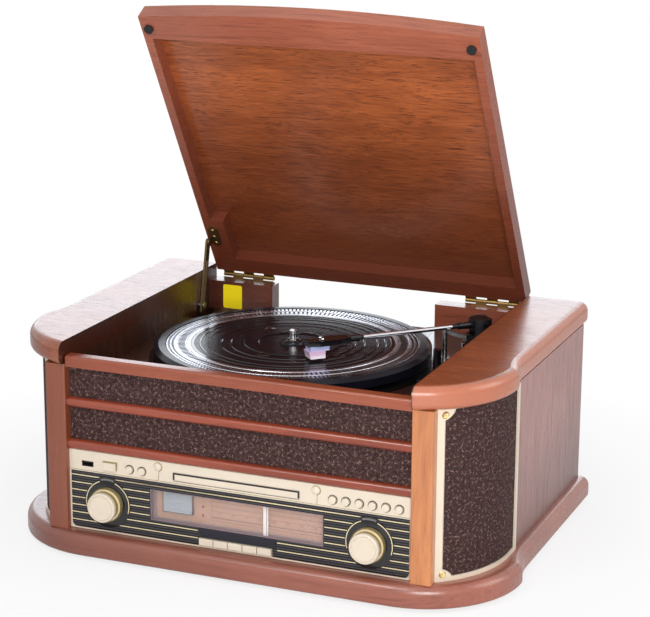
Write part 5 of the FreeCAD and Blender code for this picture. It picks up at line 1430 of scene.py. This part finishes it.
@dataclass
class Fastenings:
    """Screws that hold the grille frames, the lid's hinges and stay, and the back."""

    grille_radius: float = 109.6
    grille_centre: Point2 = (134.5, 99.0)
    ear_angle: float = math.radians(49.3)
    ear_z: Point2 = (33.0, 188.0)
    grille_head: Point2 = (3.7, 1.4)
    hinge_x: Triple = (121.3, 141.3, 161.3)
    hinge_on_lid: Point2 = (-3.5, 8.4)
    hinge_z: float = 197.4
    leaf: float = 1.5
    bracket_x: float = -169.4
    bracket_y: Triple = (-65.8, -56.8, -47.8)
    bracket_z: float = -1.1
    hinge_head: Point2 = (2.3, 0.9)
    back: float = 344.7
    back_rows: tuple[tuple[tuple[float, ...], Point2], ...] = (((-110.0, 0.0, 110.0), (36.0, 161.0)),
                                                               ((-220.0, 220.0), (36.0, 184.0)))
    back_head: Point2 = (3.0, 1.4)

    def grille_screws(self) -> None:
        """Makes the two screws of each grille frame."""
        places, facing = [], []
        cosine, sine = math.cos(self.ear_angle), math.sin(self.ear_angle)
        depth = self.grille_centre[1] - self.grille_radius * sine
        for side in (-1, 1):
            for z in self.ear_z:
                places.append(at(side * (self.grille_centre[0] + self.grille_radius * cosine), depth, z))
                facing.append(Vector((side * cosine, -sine, 0.0)))
        heads = screws(places, facing, *self.grille_head, SCREW_GOLD)
        add_piece("grille_screws", heads, SCREW_GOLD)

    def lid_screws(self) -> None:
        """Makes the screws of the hinges' leaves and of the stay's bracket."""
        across = [side * x for side in (-1, 1) for x in self.hinge_x]
        places = [LID.point(x, *self.hinge_on_lid) for x in across]
        places += [LID.point(self.bracket_x, y, self.bracket_z) for y in self.bracket_y]
        facing = [LID.way(1.0, 0.0)] * len(across) + [LID.way(0.0, -1.0)] * len(self.bracket_y)
        add_piece("lid_screws", screws(places, facing, *self.hinge_head, BRASS), BRASS, "lid")
        leaves = [at(x, self.back + self.leaf, self.hinge_z) for x in across]
        heads = screws(leaves, [REARWARDS] * len(leaves), *self.hinge_head, BRASS)
        add_piece("cabinet_hinge_screws", heads, BRASS)

    def back_screws(self) -> None:
        """Makes the screws round the back panel."""
        rows = self.back_rows
        places = [at(x, self.back, z) for across, heights in rows for x in across for z in heights]
        heads = screws(places, [REARWARDS] * len(places), *self.back_head, STEEL)
        add_piece("back_screws", heads, STEEL)

    def build(self) -> None:
        """Makes every group of screws."""
        self.grille_screws()
        self.lid_screws()
        self.back_screws()


@dataclass
class Patch:
    """The plain yellow patch on the left hinge block."""

    x: Span = (-163.0, -140.5)
    z: Span = (173.0, 199.6)
    corner: float = 2.0
    face: float = 327.0
    thickness: float = 0.3

    def build(self) -> None:
        """Makes the patch with its rounded corners."""
        bend = self.corner
        left, right, low, high = self.x[0] + bend, self.x[1] - bend, self.z[0] + bend, self.z[1] - bend
        corners = ((right, low, 270), (right, high, 0), (left, high, 90), (left, low, 180))
        outline = []
        for x, z, start in corners:
            outline += arc((x, z), bend, start, start + 90, steps=6)
        patch = plate([outline], self.face - self.thickness, self.face)
        add_piece("blank_yellow_patch", patch, YELLOW)


# Stage

@dataclass(frozen=True)
class Lamp:
    """A soft light: its place, the point that it faces, its width and height, its power and its tint."""

    name: str
    place: Triple
    aim: Triple
    size: Point2
    power: float
    tint: Triple = (1.0, 1.0, 1.0)

    def build(self) -> None:
        """Makes the light, which the camera does not see."""
        lamp = bpy.data.lights.new(self.name, "AREA")
        lamp.shape = "RECTANGLE"
        lamp.size, lamp.size_y = self.size
        lamp.energy = self.power
        lamp.color = self.tint
        thing = bpy.data.objects.new(self.name, lamp)
        way = Vector(self.aim) - Vector(self.place)
        turn = way.to_track_quat("-Z", "Y").to_matrix().to_4x4()
        thing.matrix_world = Matrix.Translation(self.place) @ turn
        thing.visible_camera = False
        bpy.context.scene.collection.objects.link(thing)


@dataclass
class Studio:
    """The pale floor, the soft lights and the camera."""

    place: Triple = (0.79615, -1.87344, 0.77553)
    yaw: float = 0.375
    pitch: float = 0.2643
    roll: float = 0.0104
    lens: float = 116.31
    shift: Point2 = (-0.0522, 0.0049)
    glow: float = 0.30
    floor_half: float = 12.0
    floor_tone: Triple = (0.92, 0.92, 0.93)
    white_from: Span = (0.32, 0.58)
    white_share: Span = (0.78, 1.0)
    lamps: tuple[Lamp, ...] = (
        Lamp("front_light", (0.75, -1.5, 0.62), (0.0, 0.0, 0.15), (0.7, 0.7), 17.0),
        Lamp("strip_light", (-0.15, -1.05, 1.25), (0.1, -0.17, 0.15), (0.7, 0.35), 7.0),
        Lamp("side_light", (1.5, 0.3, 0.9), (0.25, 0.1, 0.05), (0.9, 0.9), 7.0),
        Lamp("top_light", (0.2, -0.3, 2.4), (0.0, 0.0, 0.2), (1.6, 1.6), 3.0),
        Lamp("rear_light", (-0.9, 2.2, 0.85), (-0.1, 0.0, 0.25), (2.6, 1.2), 19.0, (0.84, 0.91, 1.0)))

    def build_camera(self) -> None:
        """Makes the camera at the photograph's angle."""
        cosine, sine, level_share = math.cos(self.yaw), math.sin(self.yaw), math.cos(self.pitch)
        ahead = Vector((-sine * level_share, cosine * level_share, -math.sin(self.pitch)))
        right = Vector((cosine, sine, 0.0))
        up = right.cross(ahead)
        level = math.cos(self.roll) * right + math.sin(self.roll) * up
        upright = -math.sin(self.roll) * right + math.cos(self.roll) * up
        camera = bpy.data.cameras.new("camera")
        camera.lens = self.lens
        camera.shift_x, camera.shift_y = self.shift
        thing = bpy.data.objects.new("camera", camera)
        turn = Matrix((level, upright, -ahead)).transposed().to_4x4()
        thing.matrix_world = Matrix.Translation(self.place) @ turn
        bpy.context.scene.collection.objects.link(thing)
        bpy.context.scene.camera = thing

    def build_world(self) -> None:
        """Makes a white surround for the camera and for reflections, and a softer one for the light."""
        world = bpy.data.worlds.new("surround")
        world.use_nodes = True
        tree = Tree(world.node_tree)
        path = tree.add("ShaderNodeLightPath").outputs
        mirrored = tree.math("MAXIMUM", path["Is Glossy Ray"], path["Is Transmission Ray"])
        seen = tree.math("MAXIMUM", path["Is Camera Ray"], mirrored)
        strength = tree.spread(seen, (0.0, 1.0), (self.glow, 1.0))
        glow = tree.out("ShaderNodeBackground", {"Color": (1.0, 1.0, 1.0), "Strength": strength})
        tree.add("ShaderNodeOutputWorld", {"Surface": glow})
        bpy.context.scene.world = world

    def build_floor(self) -> None:
        """Makes the pale floor, which looks white and keeps the shadow."""
        bm = bmesh.new()
        bmesh.ops.create_grid(bm, x_segments=1, y_segments=1, size=self.floor_half)
        floor = bpy.data.objects.new("floor", finished(bm, "floor"))
        material = bpy.data.materials.new("pale_floor")
        material.use_nodes = True
        tree = Tree(material.node_tree)
        seen = tree.add("ShaderNodeLightPath").outputs["Is Camera Ray"]
        lit = tree.out("ShaderNodeBsdfDiffuse", {"Color": self.floor_tone})
        glow = tree.out("ShaderNodeEmission", {"Color": (1.0, 1.0, 1.0), "Strength": 1.0})
        reach = tree.measure("LENGTH", tree.add("ShaderNodeTexCoord").outputs["Object"])
        share = tree.math("MULTIPLY", seen, tree.spread(reach, self.white_from, self.white_share))
        mixed = tree.out("ShaderNodeMixShader", {0: share, 1: lit, 2: glow})
        tree.add("ShaderNodeOutputMaterial", {"Surface": mixed})
        floor.data.materials.append(material)
        bpy.context.scene.collection.objects.link(floor)

    def build(self) -> None:
        """Makes the whole stage."""
        self.build_camera()
        for lamp in self.lamps:
            lamp.build()
        self.build_world()
        self.build_floor()
        bpy.context.scene.view_settings.view_transform = "Standard"


def main() -> None:
    """Builds and dresses every sub-assembly."""
    logging.basicConfig(level=logging.INFO, format="%(name)s: %(message)s")
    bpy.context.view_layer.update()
    dress_nodes()
    assemblies = (Fascia(), Dial(), Knob("volume", -KNOB_X), Knob("tuning", KNOB_X), Platter(), ToneArm(),
                  LidEdge(), Fastenings(), Patch(), Studio())
    for assembly in assemblies:
        assembly.build()
        LOG.info("%s is built", type(assembly).__name__)


if __name__ == "__main__":
    main()
